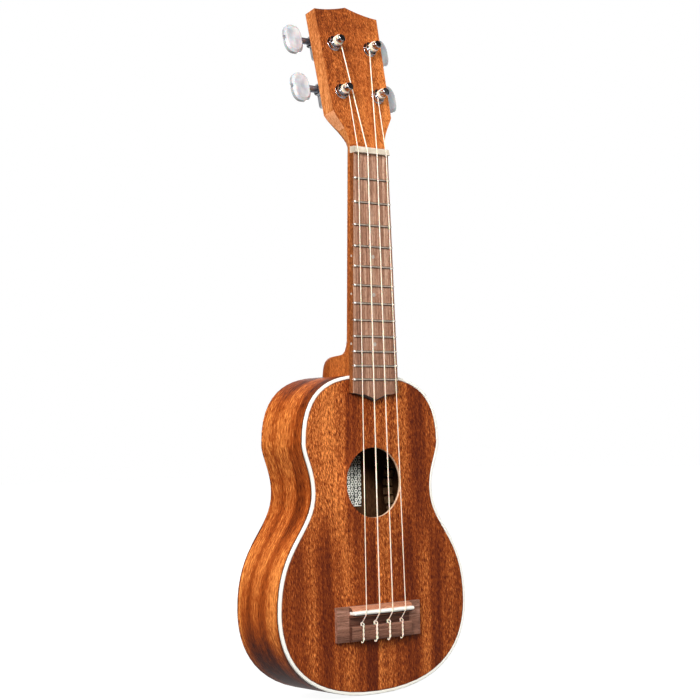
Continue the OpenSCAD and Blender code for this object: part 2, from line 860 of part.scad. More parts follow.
module string_coil(t) {
    r = t[2] / 2;
    color("white")
        at_tuner(t[3], t[4]) {
            for (i = [0:coil_turns - 1])
                translate([0, coil_y(t, i), 0])
                    rotate([90, 0, 0])
                        rotate_extrude($fn = 48)
                            translate([coil_r(t), 0])
                                circle(r = r, $fn = 16);
            translate([coil_r(t), 0, 0])
                y_cylinder(r * 0.9, -hole_up - r, coil_y(t, coil_turns - 1), 24);
            translate([0, -hole_up, 0])
                x_cylinder(r * 0.9, -post_wide / 2 - 1, coil_r(t), 24);
        }
}

// ---- tuning machines, drawn in the frame of at_tuner: post axis on y, worm axis along x ----
wheel_pitch_r = gear_centres - worm_pitch_wide / 2;
tooth_step = 2 * PI * wheel_pitch_r / wheel_teeth;
addendum = tooth_step * 0.265;
dedendum = tooth_step * 0.335;
flank = tan(20);
tooth_half = tooth_step / 4 - gear_play / 4;
lead_angle = atan(tooth_step / (PI * worm_pitch_wide));
worm_y = head_thick + worm_back;
wheel_r = wheel_pitch_r + addendum;
worm_r = worm_pitch_wide / 2 + addendum;
worm_root_r = worm_pitch_wide / 2 - dedendum;
worm_turns = 4;
worm_slices = 16;
worm_long = worm_turns * tooth_step;
post_r = post_wide / 2;
spigot_r = post_r - 0.8;
gear_gap = 0.4;
wheel_front = worm_y - wheel_face / 2;
wheel_rear = worm_y + wheel_face / 2;
gear_screw_high = 1.2;
housing_front = head_thick + base_thick;
housing_wall = 1.2;
housing_rear = wheel_rear + gear_screw_high + gear_gap + housing_wall;
housing_half = max(wheel_r + gear_gap, worm_long / 2 + 0.3) + housing_wall;
housing_top = gear_centres + worm_r + gear_gap + housing_wall;
collar_r = worm_r + 0.3;
journal_r = worm_root_r - 0.15;
boss_wall = 1.2;
boss_clear = 0.35;
boss_r = min(collar_r + running_gap + boss_wall, worm_back - boss_clear);
boss_end = housing_half + 1.6;
end_gap = 0.3;
button_in = button_out - post_out - button_long / 2;
button_end = button_out - post_out + button_long / 2;
journal_long = 1.6;
stem_end = button_end - 5;
stem_thread = 4;
head_deep = 2;
head_thin = 1.2;
screw_r = 0.9;
screw_deep = 5;
screw_head_r = 2;
ear_half = 2.6;
screw_drop = -housing_half - screw_head_r - 0.6;

module post(t) {
    color("silver")
        at_tuner(t[3], t[4])
            difference() {
                union() {
                    y_cylinder(post_r - 0.5, -post_high, -post_high + 0.5);
                    y_cylinder(post_r, -post_high + 0.5, wheel_front);
                    y_cylinder(spigot_r, wheel_front, wheel_rear);
                }
                translate([0, -hole_up, 0])
                    x_cylinder(t[2] / 2 + 0.2, -post_r - 1, post_r + 1, 24);
                y_cylinder(screw_r, wheel_rear - 3, wheel_rear + 1, 24);
            }
}

module worm_wheel(t) {
    root_r = wheel_pitch_r - dedendum;
    color("goldenrod")
        at_tuner(t[3], t[4])
            difference() {
                union() {
                    y_cylinder(root_r, wheel_front, wheel_rear);
                    for (i = [0:wheel_teeth - 1])
                        rotate([0, (i + 0.5) * 360 / wheel_teeth, 0])
                            translate([0, worm_y, 0])
                                rotate([0, 0, -lead_angle])
                                    wheel_tooth(root_r);
                }
                y_cylinder(spigot_r, wheel_front - 1, wheel_rear + 1);
            }
    color("silver")
        at_tuner(t[3], t[4]) {
            y_cylinder(screw_r, wheel_rear - 3, wheel_rear, 24);
            y_cylinder(spigot_r + 0.8, wheel_rear, wheel_rear + gear_screw_high, 24);
        }
}

// A tooth that points up z and runs along y, sunk a little into the wheel's rim
module wheel_tooth(root_r) {
    sink = 0.3;
    half = (wheel_face - 0.2) / 2;
    translate([0, half, 0])
        rotate([90, 0, 0])
            linear_extrude(2 * half)
                polygon([
                    [-tooth_half - dedendum * flank, root_r - sink],
                    [-tooth_half - dedendum * flank, root_r],
                    [-tooth_half + addendum * flank, wheel_r],
                    [tooth_half - addendum * flank, wheel_r],
                    [tooth_half + dedendum * flank, root_r],
                    [tooth_half + dedendum * flank, root_r - sink],
                ]);
}

// The worm's cross-section: its radius follows the thread's profile once round the shaft
crest_half = tooth_half - addendum * flank;
root_half = tooth_half + dedendum * flank;
function thread_r(u) = abs(u) <= crest_half ? worm_r
    : abs(u) >= root_half ? worm_root_r
    : worm_r + (worm_root_r - worm_r) * (abs(u) - crest_half) / (root_half - crest_half);
worm_places = concat(
    [-crest_half, 0, crest_half, tooth_half, root_half],
    [for (i = [1:3]) root_half + (tooth_step - 2 * root_half) * i / 4],
    [tooth_step - root_half, tooth_step - tooth_half]
);
function thread_point(u) = let (
        a = 360 * u / tooth_step,
        r = thread_r(u > tooth_step / 2 ? u - tooth_step : u)
    ) [r * cos(a), r * sin(a)];

module worm_shaft(t) {
    color("silver")
        at_tuner(t[3], t[4])
            translate([0, worm_y, gear_centres])
                difference() {
                    union() {
                        translate([-worm_long / 2, 0, 0])
                            rotate([0, 90, 0])
                                linear_extrude(worm_long, twist = -360 * worm_turns,
                                    slices = worm_slices * worm_turns, $fn = 0)
                                    polygon([for (u = worm_places) thread_point(u)]);
                        x_cylinder(journal_r, -worm_long / 2 - journal_long, worm_long / 2 + 1);
                        x_cylinder(collar_r, worm_long / 2 + end_gap, boss_end - end_gap);
                        x_cylinder(stem_wide / 2, boss_end - 2 * end_gap, stem_end);
                    }
                    x_cylinder(screw_r, stem_end - stem_thread, button_end, 24);
                }
}

// An oval with squarish ends and wide bevels, on the end of the shaft
button_squareness = 2.6;
button_points = 48;
face_share = 0.8;
rim_half = button_thick / 4;
function rounded(c) = sign(c) * pow(abs(c), 2 / button_squareness);
function button_ring(y, share) = [for (i = [0:button_points - 1]) let (a = 360 * i / button_points)
    [button_out - post_out + share * button_long / 2 * rounded(cos(a)), y,
        share * button_high / 2 * rounded(sin(a))]];

module tuner_button(t) {
    flat = button_thick / 2;
    color("whitesmoke")
        at_tuner(t[3], t[4])
            translate([0, worm_y, gear_centres])
                difference() {
                    loft([for (y = [[flat, face_share], [rim_half, 1], [-rim_half, 1], [-flat, face_share]])
                        button_ring(y[0], y[1])]);
                    x_cylinder(stem_wide / 2, button_in - 5, stem_end);
                    x_cylinder(screw_r, stem_end - 1, button_end + 1, 24);
                    x_cylinder(screw_r + 1.1, button_end - head_deep, button_end + 1, 24);
                }
}

module button_screw(t) {
    color("silver")
        at_tuner(t[3], t[4])
            translate([0, worm_y, gear_centres]) {
                x_cylinder(screw_r, stem_end - stem_thread, button_end - head_deep, 24);
                x_cylinder(screw_r + 1, button_end - head_deep,
                    button_end - head_deep + head_thin, 24);
            }
}

module tuner_housing(t) {
    cavity_r = wheel_r + gear_gap;
    color("gainsboro")
        at_tuner(t[3], t[4])
            difference() {
                union() {
                    intersection() {
                        upright(housing_front, housing_rear - housing_front)
                            housing_outline();
                        linear_extrude(2 * far, center = true)
                            housing_slice(-housing_half, housing_half);
                        rotate([0, -90, 0])
                            linear_extrude(2 * far, center = true)
                                housing_slice(-housing_half, housing_top);
                    }
                    translate([0, worm_y, gear_centres])
                        x_cylinder(boss_r, housing_half - eps, boss_end);
                }
                y_cylinder(cavity_r, housing_front - 1, housing_rear - housing_wall);
                translate([0, worm_y, gear_centres]) {
                    x_cylinder(collar_r + running_gap, -worm_long / 2 - end_gap, boss_end + 1);
                    x_cylinder(journal_r + running_gap, -worm_long / 2 - journal_long - end_gap, 0);
                }
            }
}

// The housing cut across: its rear edges are bevelled
housing_bevel = 1.5;
module housing_slice(low, high) {
    polygon([
        [low, housing_front], [high, housing_front], [high, housing_rear - housing_bevel],
        [high - housing_bevel, housing_rear], [low + housing_bevel, housing_rear],
        [low, housing_rear - housing_bevel],
    ]);
}

// The housing from the rear: nearly round about the gear wheel, with small corners past the worm
wheel_corner = housing_half - 0.6;
worm_corner = 3;
module housing_outline() {
    offset_box(-housing_half, housing_half, -housing_half, housing_half, wheel_corner);
    offset_box(-housing_half, housing_half, -worm_corner, housing_top, worm_corner);
}

// A rectangle with round corners, drawn with exact arcs
module offset_box(x0, x1, z0, z1, r) {
    translate([x0 + r, z0])
        square([x1 - x0 - 2 * r, z1 - z0]);
    translate([x0, z0 + r])
        square([x1 - x0, z1 - z0 - 2 * r]);
    for (x = [x0 + r, x1 - r])
        for (z = [z0 + r, z1 - r])
            translate([x, z])
                circle(r = r);
}

module tuner_base_plates() {
    color("silver")
        for (t = strings)
            at_tuner(t[3], t[4])
                difference() {
                    upright(head_thick, base_thick)
                        union() {
                            housing_outline();
                            offset_box(-ear_half, ear_half, screw_drop - ear_half, 0, ear_half - eps);
                        }
                    y_cylinder(post_r + running_gap, head_thick - 1, housing_front + 1);
                    translate([0, 0, screw_drop])
                        y_cylinder(screw_r, head_thick - 1, housing_front + 1, 24);
                }
}

module tuner_bushings() {
    color("silver")
        for (t = strings)
            at_tuner(t[3], t[4])
                difference() {
                    union() {
                        y_cylinder(hex_wide / 2 / cos(30), -washer_thick - hex_high, -washer_thick, 6);
                        y_cylinder(bushing_r, -washer_thick - eps, head_thick - 0.5);
                    }
                    y_cylinder(post_r + running_gap, -washer_thick - hex_high - 1, head_thick);
                }
}

module tuner_washers() {
    color("silver")
        for (t = strings)
            at_tuner(t[3], t[4])
                difference() {
                    y_cylinder(hex_wide / 2 / cos(30) + 0.1, -washer_thick, 0);
                    y_cylinder(bushing_r + running_gap, -washer_thick - 1, 1);
                }
}

module tuner_screws() {
    color("silver")
        for (t = strings)
            at_tuner(t[3], t[4])
                translate([0, 0, screw_drop]) {
                    y_cylinder(screw_r, head_thick - screw_deep, housing_front, 24);
                    y_cylinder(screw_head_r, housing_front, housing_front + head_thin, 24);
                }
}

soundboard();
back_plate();
rib(-1);  // rib_bass
rib(1);  // rib_treble
binding();
neck_block();
tail_block();
lining(top_thick);  // lining_front
lining(inner_deep - lining_high);  // lining_back
cross_braces_front();
fan_braces();
bridge_plate();
cross_braces_back();
paper_label();
neck();
headstock();
neck_dowels();
fretboard();
frets();
position_dots();
nut();
bridge();
saddle();
string(strings[0]);  // string_g
string(strings[1]);  // string_c
string(strings[2]);  // string_e
string(strings[3]);  // string_a
string_coil(strings[0]);  // string_coil_g
string_coil(strings[1]);  // string_coil_c
string_coil(strings[2]);  // string_coil_e
string_coil(strings[3]);  // string_coil_a
post(strings[0]);  // post_g
post(strings[1]);  // post_c
post(strings[2]);  // post_e
post(strings[3]);  // post_a
worm_wheel(strings[0]);  // worm_wheel_g
worm_wheel(strings[1]);  // worm_wheel_c
worm_wheel(strings[2]);  // worm_wheel_e
worm_wheel(strings[3]);  // worm_wheel_a
worm_shaft(strings[0]);  // worm_shaft_g
worm_shaft(strings[1]);  // worm_shaft_c
worm_shaft(strings[2]);  // worm_shaft_e
worm_shaft(strings[3]);  // worm_shaft_a
tuner_button(strings[0]);  // tuner_button_g
tuner_button(strings[1]);  // tuner_button_c
tuner_button(strings[2]);  // tuner_button_e
tuner_button(strings[3]);  // tuner_button_a
button_screw(strings[0]);  // button_screw_g
button_screw(strings[1]);  // button_screw_c
button_screw(strings[2]);  // button_screw_e
button_screw(strings[3]);  // button_screw_a
tuner_housing(strings[0]);  // tuner_housing_g
tuner_housing(strings[1]);  // tuner_housing_c
tuner_housing(strings[2]);  // tuner_housing_e
tuner_housing(strings[3]);  // tuner_housing_a
tuner_base_plates();
tuner_bushings();
tuner_washers();
tuner_screws();
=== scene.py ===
import json
import math
import bpy
import numpy as np
from mathutils import Matrix, Vector
from mathutils.bvhtree import BVHTree

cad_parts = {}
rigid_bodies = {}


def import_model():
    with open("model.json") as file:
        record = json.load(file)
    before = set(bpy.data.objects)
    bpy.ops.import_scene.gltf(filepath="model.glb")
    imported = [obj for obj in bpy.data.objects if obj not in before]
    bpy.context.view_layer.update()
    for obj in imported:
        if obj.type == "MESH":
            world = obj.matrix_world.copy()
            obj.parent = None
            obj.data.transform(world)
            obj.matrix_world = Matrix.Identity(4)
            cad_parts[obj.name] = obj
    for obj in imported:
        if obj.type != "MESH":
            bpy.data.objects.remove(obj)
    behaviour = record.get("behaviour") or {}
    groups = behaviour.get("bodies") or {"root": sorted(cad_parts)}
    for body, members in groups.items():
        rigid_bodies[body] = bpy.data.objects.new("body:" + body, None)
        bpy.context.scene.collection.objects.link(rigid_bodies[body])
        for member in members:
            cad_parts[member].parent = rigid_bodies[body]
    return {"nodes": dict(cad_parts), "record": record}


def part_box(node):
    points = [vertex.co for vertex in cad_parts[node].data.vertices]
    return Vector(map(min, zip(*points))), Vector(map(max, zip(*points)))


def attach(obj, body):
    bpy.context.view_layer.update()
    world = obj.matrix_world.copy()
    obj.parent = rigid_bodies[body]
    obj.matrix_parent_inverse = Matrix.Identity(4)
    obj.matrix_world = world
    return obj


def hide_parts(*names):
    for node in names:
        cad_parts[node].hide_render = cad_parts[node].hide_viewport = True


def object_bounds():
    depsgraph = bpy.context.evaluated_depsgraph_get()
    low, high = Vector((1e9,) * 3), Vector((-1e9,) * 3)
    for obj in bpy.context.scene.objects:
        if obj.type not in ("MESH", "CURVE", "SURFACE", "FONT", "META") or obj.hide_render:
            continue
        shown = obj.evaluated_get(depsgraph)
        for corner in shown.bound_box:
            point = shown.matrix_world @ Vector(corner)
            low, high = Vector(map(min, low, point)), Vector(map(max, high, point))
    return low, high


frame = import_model()
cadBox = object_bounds()
cadNodes = frame["nodes"]
record = frame["record"]
bodyOfNode = {n: b for b, ns in record["behaviour"]["bodies"].items() for n in ns}
slotOfNode = {s["node"]: s["material_slot"] for s in record["subparts"]}
stringNames = "gcea"
scene = bpy.context.scene
bpy.ops.object.select_all(action="DESELECT")
print("frame loaded:", len(cadNodes), "nodes")

# camera, at the place the photo was taken from

cameraSettings = {
    "lens": 84.85,  # millimetres, on a 36 mm sensor
    "place": (-0.80809, -0.96285, -0.21533),
    "yaw": 39.2654,
    "pitch": 2.9995,
    "roll": -1.1787,
}


def cameraTurn():
    turn = Matrix.Rotation(math.radians(-cameraSettings["yaw"]), 4, "Z")
    turn @= Matrix.Rotation(math.radians(90 + cameraSettings["pitch"]), 4, "X")
    return turn @ Matrix.Rotation(math.radians(cameraSettings["roll"]), 4, "Z")


bpy.ops.object.camera_add(location=cameraSettings["place"], rotation=cameraTurn().to_euler())
camera = bpy.context.object
camera.name = "photoCamera"
camera.data.lens = cameraSettings["lens"]
camera.data.sensor_fit = "AUTO"
camera.data.clip_start = 0.05
scene.camera = camera
bpy.context.view_layer.update()
print("camera placed")


# helpers for picking, editing and finishing pieces

def pick(piece):
    bpy.ops.object.select_all(action="DESELECT")
    piece.select_set(True)
    bpy.context.view_layer.objects.active = piece
    return piece


def joined(pieces, name):
    bpy.ops.object.select_all(action="DESELECT")
    for piece in pieces:
        piece.select_set(True)
    bpy.context.view_layer.objects.active = pieces[0]
    bpy.ops.object.join()
    whole = bpy.context.object
    whole.name = whole.data.name = name
    return whole


def editAll(piece, *steps):
    pick(piece)
    bpy.ops.object.mode_set(mode="EDIT")
    for step in steps:
        bpy.ops.mesh.select_all(action="SELECT")
        step()
    bpy.ops.object.mode_set(mode="OBJECT")


def applyModifier(piece, kind, **values):
    pick(piece)
    modifier = piece.modifiers.new(kind.title(), kind)
    for key, value in values.items():
        setattr(modifier, key, value)
    bpy.ops.object.modifier_apply(modifier=modifier.name)


def bevelEdges(piece, width, segments=2, angle=30):
    applyModifier(piece, "BEVEL", width=width, segments=segments, limit_method="ANGLE",
                  angle_limit=math.radians(angle))


def smoothShade(piece, angle=32):
    pick(piece)
    bpy.ops.object.shade_smooth_by_angle(angle=math.radians(angle))


def settle(piece):
    pick(piece)
    bpy.ops.object.transform_apply(location=True, rotation=True, scale=True)
    return piece


def refinedCopy(nodeName, pieceName, bevel=0.0, segments=2, angle=30, smooth=32):
    piece = cadNodes[nodeName].copy()
    piece.data = piece.data.copy()
    piece.name = pieceName
    piece.data.name = pieceName
    piece.parent = None
    for key in list(piece.keys()):
        del piece[key]
    scene.collection.objects.link(piece)
    editAll(
        piece,
        lambda: bpy.ops.mesh.remove_doubles(threshold=1e-6),
        lambda: bpy.ops.mesh.dissolve_limited(angle_limit=math.radians(0.2)),
    )
    if bevel:
        bevelEdges(piece, bevel, segments, angle)
    smoothShade(piece, smooth)
    # flat faces keep their own normals beside a rounded edge
    applyModifier(piece, "WEIGHTED_NORMAL", keep_sharp=True)
    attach(piece, bodyOfNode[nodeName])
    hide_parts(nodeName)
    return piece


def paint(piece, finish):
    piece.data.materials.clear()
    piece.data.materials.append(finish)
    return piece


# node materials

def rgb(red, green, blue):
    def linear(v):
        v /= 255
        return v / 12.92 if v <= 0.04045 else ((v + 0.055) / 1.055) ** 2.4
    return (linear(red), linear(green), linear(blue), 1)


def newFinish(name):
    finish = bpy.data.materials.new(name)
    finish.use_nodes = True
    return finish, finish.node_tree, finish.node_tree.nodes["Principled BSDF"]


def addNode(tree, kind, inputs=None, **values):
    made = tree.nodes.new("ShaderNode" + kind)
    for key, value in values.items():
        setattr(made, key, value)
    for key, value in (inputs or {}).items():
        if isinstance(value, bpy.types.NodeSocket):
            tree.links.new(value, made.inputs[key])
        else:
            made.inputs[key].default_value = value
    return made


def calc(tree, operation, a, b=0.0, clamp=False):
    return addNode(tree, "Math", {0: a, 1: b}, operation=operation, use_clamp=clamp).outputs[0]


def ramp(tree, value, stops, smooth="LINEAR"):
    made = addNode(tree, "ValToRGB", {"Fac": value})
    colours = made.color_ramp
    colours.interpolation = smooth
    while len(colours.elements) < len(stops):
        colours.elements.new(0.5)
    for element, (place, colour) in zip(colours.elements, stops):
        element.position = place
        element.color = colour if isinstance(colour, tuple) else (colour, colour, colour, 1)
    return made.outputs["Color"]


def noise(tree, place, scale, detail=2.0, rough=0.5, distort=0.0):
    stretched = addNode(tree, "Mapping", {"Vector": place, "Scale": scale}).outputs[0]
    return addNode(tree, "TexNoise", {"Vector": stretched, "Scale": 1.0, "Detail": detail,
                                      "Roughness": rough, "Distortion": distort}).outputs["Fac"]


def blendColour(tree, fac, a, b):
    mix = addNode(tree, "Mix", data_type="RGBA")
    for socket, value in zip((mix.inputs[0], mix.inputs[6], mix.inputs[7]), (fac, a, b)):
        if isinstance(value, bpy.types.NodeSocket):
            tree.links.new(value, socket)
        else:
            socket.default_value = value
    return mix.outputs[2]


def swing(tree, tone, value, share):
    # adds a pattern that swings either side of its middle
    return calc(tree, "ADD", tone, calc(tree, "MULTIPLY", calc(tree, "SUBTRACT", value, 0.5), share))


# what all the woods share, in millimetres and waves to the millimetre
grainSettings = {
    "toMillimetres": (1000, 1000, 1000), "driftRate": (0.012, 0.012, 0.007), "ribbonDepth": 0.02,
    "ribbonStops": [(0.34, 0.0), (0.66, 1.0)], "streakDrop": 0.012, "fineRate": (2.2, 2.2, 0.12),
    "poreRate": (4.5, 4.5, 0.35), "poreEdge": 0.08, "roughSwing": 0.16, "fineHeight": 0.4,
    "bumpDistance": 0.0001,
}


def woodFinish(name, look):
    g = grainSettings
    finish, tree, shader = newFinish(name)
    source = addNode(tree, "TexCoord").outputs["UV" if look.get("uv") else "Object"]
    if look.get("uv"):
        flat = addNode(tree, "SeparateXYZ", {"Vector": source})
        source = addNode(tree, "CombineXYZ", {"X": flat.outputs[0], "Z": flat.outputs[1]}).outputs[0]
    # the grain runs along z, in millimetres
    place = addNode(tree, "Mapping", {"Vector": source, "Rotation": look.get("turn", (0, 0, 0)),
                                      "Scale": g["toMillimetres"]}).outputs[0]
    split = addNode(tree, "SeparateXYZ", {"Vector": place})
    across, depth, along = split.outputs[0], split.outputs[1], split.outputs[2]
    drift = calc(tree, "SUBTRACT", noise(tree, place, g["driftRate"], 1.0), 0.5)
    bent = calc(tree, "ADD", across, calc(tree, "MULTIPLY", drift, look["drift"]))
    bentPlace = addNode(tree, "CombineXYZ", {"X": bent, "Y": depth, "Z": along}).outputs[0]
    if "ribbons" in look:
        spread = look["ribbonSpread"]
        share = calc(tree, "DIVIDE", calc(tree, "ADD", bent, spread / 2), spread)
        above = calc(tree, "SUBTRACT", along, look["waistFrom"])
        above = calc(tree, "DIVIDE", above, look["waistOver"], clamp=True)
        ribbon = blendColour(tree, above, ramp(tree, share, look["ribbons"], "EASE"),
                             ramp(tree, share, look["highRibbons"], "EASE"))
    else:
        ribbonRate = (look["ribbonRate"], g["ribbonDepth"], look.get("ribbonDrop", 0.0025))
        ribbon = ramp(tree, noise(tree, bentPlace, ribbonRate, 1.5, 0.45), g["ribbonStops"], "EASE")
    wide = noise(tree, bentPlace, (look["streakRate"], look["streakRate"], g["streakDrop"]), 3.0, 0.55)
    fine = noise(tree, bentPlace, g["fineRate"], 3.0, 0.6)
    leaning = addNode(tree, "Mapping", {"Vector": bentPlace,
                                        "Rotation": (0, math.radians(look["fleckLean"]), 0)}).outputs[0]
    fleck = noise(tree, leaning, look["fleckRate"], 2.0, 0.7, 0.3)
    tone = calc(tree, "ADD", calc(tree, "MULTIPLY", ribbon, look["ribbonShare"]), look["tone"])
    tone = swing(tree, tone, wide, look["streakShare"])
    tone = swing(tree, tone, fine, look["fineShare"])
    fleckShare = calc(tree, "ADD", calc(tree, "MULTIPLY", ribbon, look["fleckShare"]), look["fleckBase"])
    tone = swing(tree, tone, fleck, fleckShare)
    if "bands" in look:
        # slow shifts of tone along the grain, partly the wood's own tone and partly painted shade and light
        band = ramp(tree, calc(tree, "DIVIDE", along, look["bandsOver"]), look["bands"], "EASE")
        tone = swing(tree, tone, band, look["bandsShare"])
    if "leftToRight" in look:
        # and a painted shade, darker on the bass side and lighter toward the treble side
        sideways = calc(tree, "ADD", calc(tree, "DIVIDE", across, look["leftToRightOver"]), 0.5)
        tone = swing(tree, tone, sideways, look["leftToRight"])
    colour = ramp(tree, tone, [(0.0, rgb(*look["dark"])), (0.5, rgb(*look["middle"])),
                               (1.0, rgb(*look["light"]))])
    pore = noise(tree, bentPlace, g["poreRate"], 2.0, 0.5)
    poreMask = ramp(tree, pore, [(look["poreFrom"], 0.0), (look["poreFrom"] + g["poreEdge"], 1.0)])
    poreDark = calc(tree, "MULTIPLY", poreMask, look["poreShare"])
    colour = blendColour(tree, poreDark, colour, rgb(*look["pore"]))
    if "edgeLine" in look:
        low, high = look["edgeLine"]
        place = addNode(tree, "TexCoord").outputs["Object"]
        deep = addNode(tree, "SeparateXYZ", {"Vector": place}).outputs[1]
        past, before = calc(tree, "GREATER_THAN", deep, low), calc(tree, "LESS_THAN", deep, high)
        inLine = calc(tree, "MULTIPLY", past, before)
        colour = blendColour(tree, inLine, colour, rgb(*look["line"]))
    tree.links.new(colour, shader.inputs["Base Color"])
    rough = calc(tree, "MULTIPLY", fine, g["roughSwing"])
    rough = calc(tree, "ADD", rough, look["rough"] - g["roughSwing"] / 2)
    tree.links.new(rough, shader.inputs["Roughness"])
    height = calc(tree, "SUBTRACT", calc(tree, "MULTIPLY", fine, g["fineHeight"]), poreMask)
    bump = addNode(tree, "Bump", {"Height": height, "Strength": look["bump"], "Distance": g["bumpDistance"]})
    tree.links.new(bump.outputs[0], shader.inputs["Normal"])
    shader.inputs["Specular IOR Level"].default_value = look["shine"]
    return finish


# where the soundboard's bands lie, from its bass edge to its treble edge, below and above the waist
lowRibbons = [
    (0.0, 0.45), (0.07, 0.35), (0.11, 0.22), (0.18, 0.66), (0.245, 0.02), (0.30, 0.5), (0.345, 0.78),
    (0.42, 0.38), (0.475, 0.02), (0.499, 0.0), (0.501, 0.85), (0.55, 0.72), (0.61, 0.4), (0.675, 0.05),
    (0.76, 0.72), (0.82, 0.06), (0.90, 0.62), (0.95, 0.3)]
highRibbons = [
    (0.12, 0.4), (0.184, 0.8), (0.29, 0.95), (0.34, 0.8), (0.385, 0.2), (0.415, 0.15), (0.45, 0.5),
    (0.499, 0.5), (0.501, 0.72), (0.542, 0.8), (0.647, 0.8), (0.732, 0.03), (0.816, 0.6), (0.868, 0.3)]

mahogany = {
    "dark": (78, 26, 10), "middle": (156, 73, 29), "light": (246, 150, 76), "pore": (58, 20, 10),
    "drift": 9.0, "ribbonRate": 0.05, "ribbonShare": 0.55, "streakRate": 0.26, "streakShare": 0.8,
    "fineShare": 0.9, "fleckRate": (1.5, 1.5, 0.28), "fleckShare": 1.9, "fleckBase": 1.6,
    "fleckLean": 10, "tone": 0.08,
    "poreFrom": 0.60, "poreShare": 0.5, "rough": 0.46, "shine": 0.08, "bump": 0.22,
}
topLook = {**mahogany, "ribbons": lowRibbons, "highRibbons": highRibbons, "ribbonSpread": 190.0,
           "waistFrom": -305.0, "waistOver": 40.0}
ribLook = {**mahogany, "uv": True, "edgeLine": (0.00238, 0.0031), "line": (96, 50, 26), "tone": 0.12,
           "ribbonRate": 0.07, "ribbonShare": 0.5, "ribbonDrop": 0.005,
           "streakRate": 0.5, "streakShare": 0.55,
           "fleckRate": (1.0, 1.0, 0.18), "fleckShare": 1.0, "fleckBase": 0.9, "fleckLean": 4, "drift": 12.0,
           "dark": (62, 20, 8), "middle": (172, 80, 30), "light": (252, 158, 78), "shine": 0.04,
           # the sides' bands, partly painted shade and light: darker at the neck join, the waist and toward
           # the tail, lighter on the bouts
           "bands": [(0.0, 0.1), (0.08, 0.25), (0.2, 0.55), (0.34, 0.38), (0.46, 0.9), (0.54, 0.8),
                     (0.63, 0.3), (0.74, 0.0)],
           "bandsOver": 420.0, "bandsShare": 0.6}
neckLook = {**mahogany, "dark": (96, 40, 14), "middle": (166, 80, 32), "light": (228, 134, 64),
            "ribbonShare": 0.4, "tone": 0.30, "ribbonRate": 0.07, "fleckShare": 0.8, "drift": 4.0}
# the head's sides, painted lighter than its face: painted light
headSideLook = {**mahogany, "dark": (130, 61, 26), "middle": (182, 100, 48), "light": (228, 150, 88),
                "ribbonShare": 0.3, "tone": 0.35, "ribbonRate": 0.06, "fleckShare": 1.2, "drift": 4.0}
# along the head, partly painted shade: lighter by the nut, darker toward its top
headBands = {"bands": [(0.05, 0.95), (0.3, 0.85), (0.6, 0.5), (0.95, 0.25)],
             "bandsOver": 120.0, "bandsShare": 0.45}
# the head's face, painted darker than its sides, with a painted shade darker on its bass side
headLook = {**headSideLook, **headBands, "dark": (80, 32, 10), "middle": (156, 76, 30),
            "light": (224, 136, 68), "ribbonShare": 0.12, "tone": 0.41, "fleckRate": (1.9, 1.9, 0.2),
            "fleckShare": 1.2, "fleckBase": 1.9, "fineShare": 1.2, "poreShare": 0.6,
            "leftToRight": 0.36, "leftToRightOver": 56.0}
# a painted highlight along the head's rounded edges
headEdgeHighlightLook = {**headSideLook, **headBands, "dark": (176, 98, 56), "middle": (222, 144, 94),
                "light": (246, 180, 132)}
# the fretboard's sides, painted darker than its face: painted shade
boardSideLook = {**headSideLook, "dark": (82, 40, 18), "middle": (128, 70, 34), "light": (164, 98, 56)}
boardLook = {
    "dark": (92, 58, 44), "middle": (160, 116, 92), "light": (218, 180, 154), "pore": (66, 40, 30),
    "drift": 1.5, "ribbonRate": 0.12, "ribbonShare": 0.3, "streakRate": 0.6, "streakShare": 1.2,
    "fineShare": 0.9, "fleckRate": (1.0, 1.0, 0.06), "fleckShare": 0.8, "fleckBase": 0.2,
    "fleckLean": 0, "tone": 0.35,
    "poreFrom": 0.57, "poreShare": 0.75, "rough": 0.55, "shine": 0.16, "bump": 0.4,
}
bridgeLook = {**boardLook, "turn": (0, math.radians(90), 0), "dark": (64, 41, 32), "middle": (134, 91, 73),
              "light": (184, 136, 114), "drift": 2.0, "ribbonRate": 0.05}
# a painted highlight: lighter wood for the bridge's upward faces in front of the saddle and its rear ledge
rampHighlightLook = {**bridgeLook, "dark": (126, 72, 50), "middle": (190, 126, 94), "light": (218, 162, 130)}
# painted shade: darker wood for the bridge's channel, its walls and the strip the saddle shades
bridgeShadeLook = {**bridgeLook, "dark": (44, 25, 18), "middle": (86, 52, 40), "light": (128, 86, 68)}
# the inside wood, unfinished, and darker partly as painted shade
innerLook = {**mahogany, "dark": (56, 32, 18), "middle": (80, 51, 30), "light": (104, 71, 44),
             "pore": (52, 32, 18), "rough": 0.7, "ribbonShare": 0.3, "fleckShare": 0.5, "tone": 0.3}
liningLook = {**innerLook, "dark": (112, 82, 56), "middle": (158, 122, 86), "light": (190, 152, 112)}
spruceLook = {**innerLook, "turn": (0, math.radians(90), 0), "dark": (176, 140, 92),
              "middle": (206, 172, 122), "light": (226, 196, 150), "pore": (150, 112, 70),
              "streakRate": 0.8, "streakShare": 0.9}

topWood = woodFinish("mahoganyTop", topLook)
backWood = woodFinish("mahoganyBack", mahogany)
ribWood = woodFinish("mahoganyRib", ribLook)
neckWood = woodFinish("mahoganyNeck", neckLook)
headWood = woodFinish("mahoganyHead", headLook)
headSideWood = woodFinish("mahoganyHeadSide", {**headSideLook, **headBands})
headEdgeHighlightWood = woodFinish("mahoganyHeadEdge", headEdgeHighlightLook)
boardSideWood = woodFinish("fretboardSide", boardSideLook)
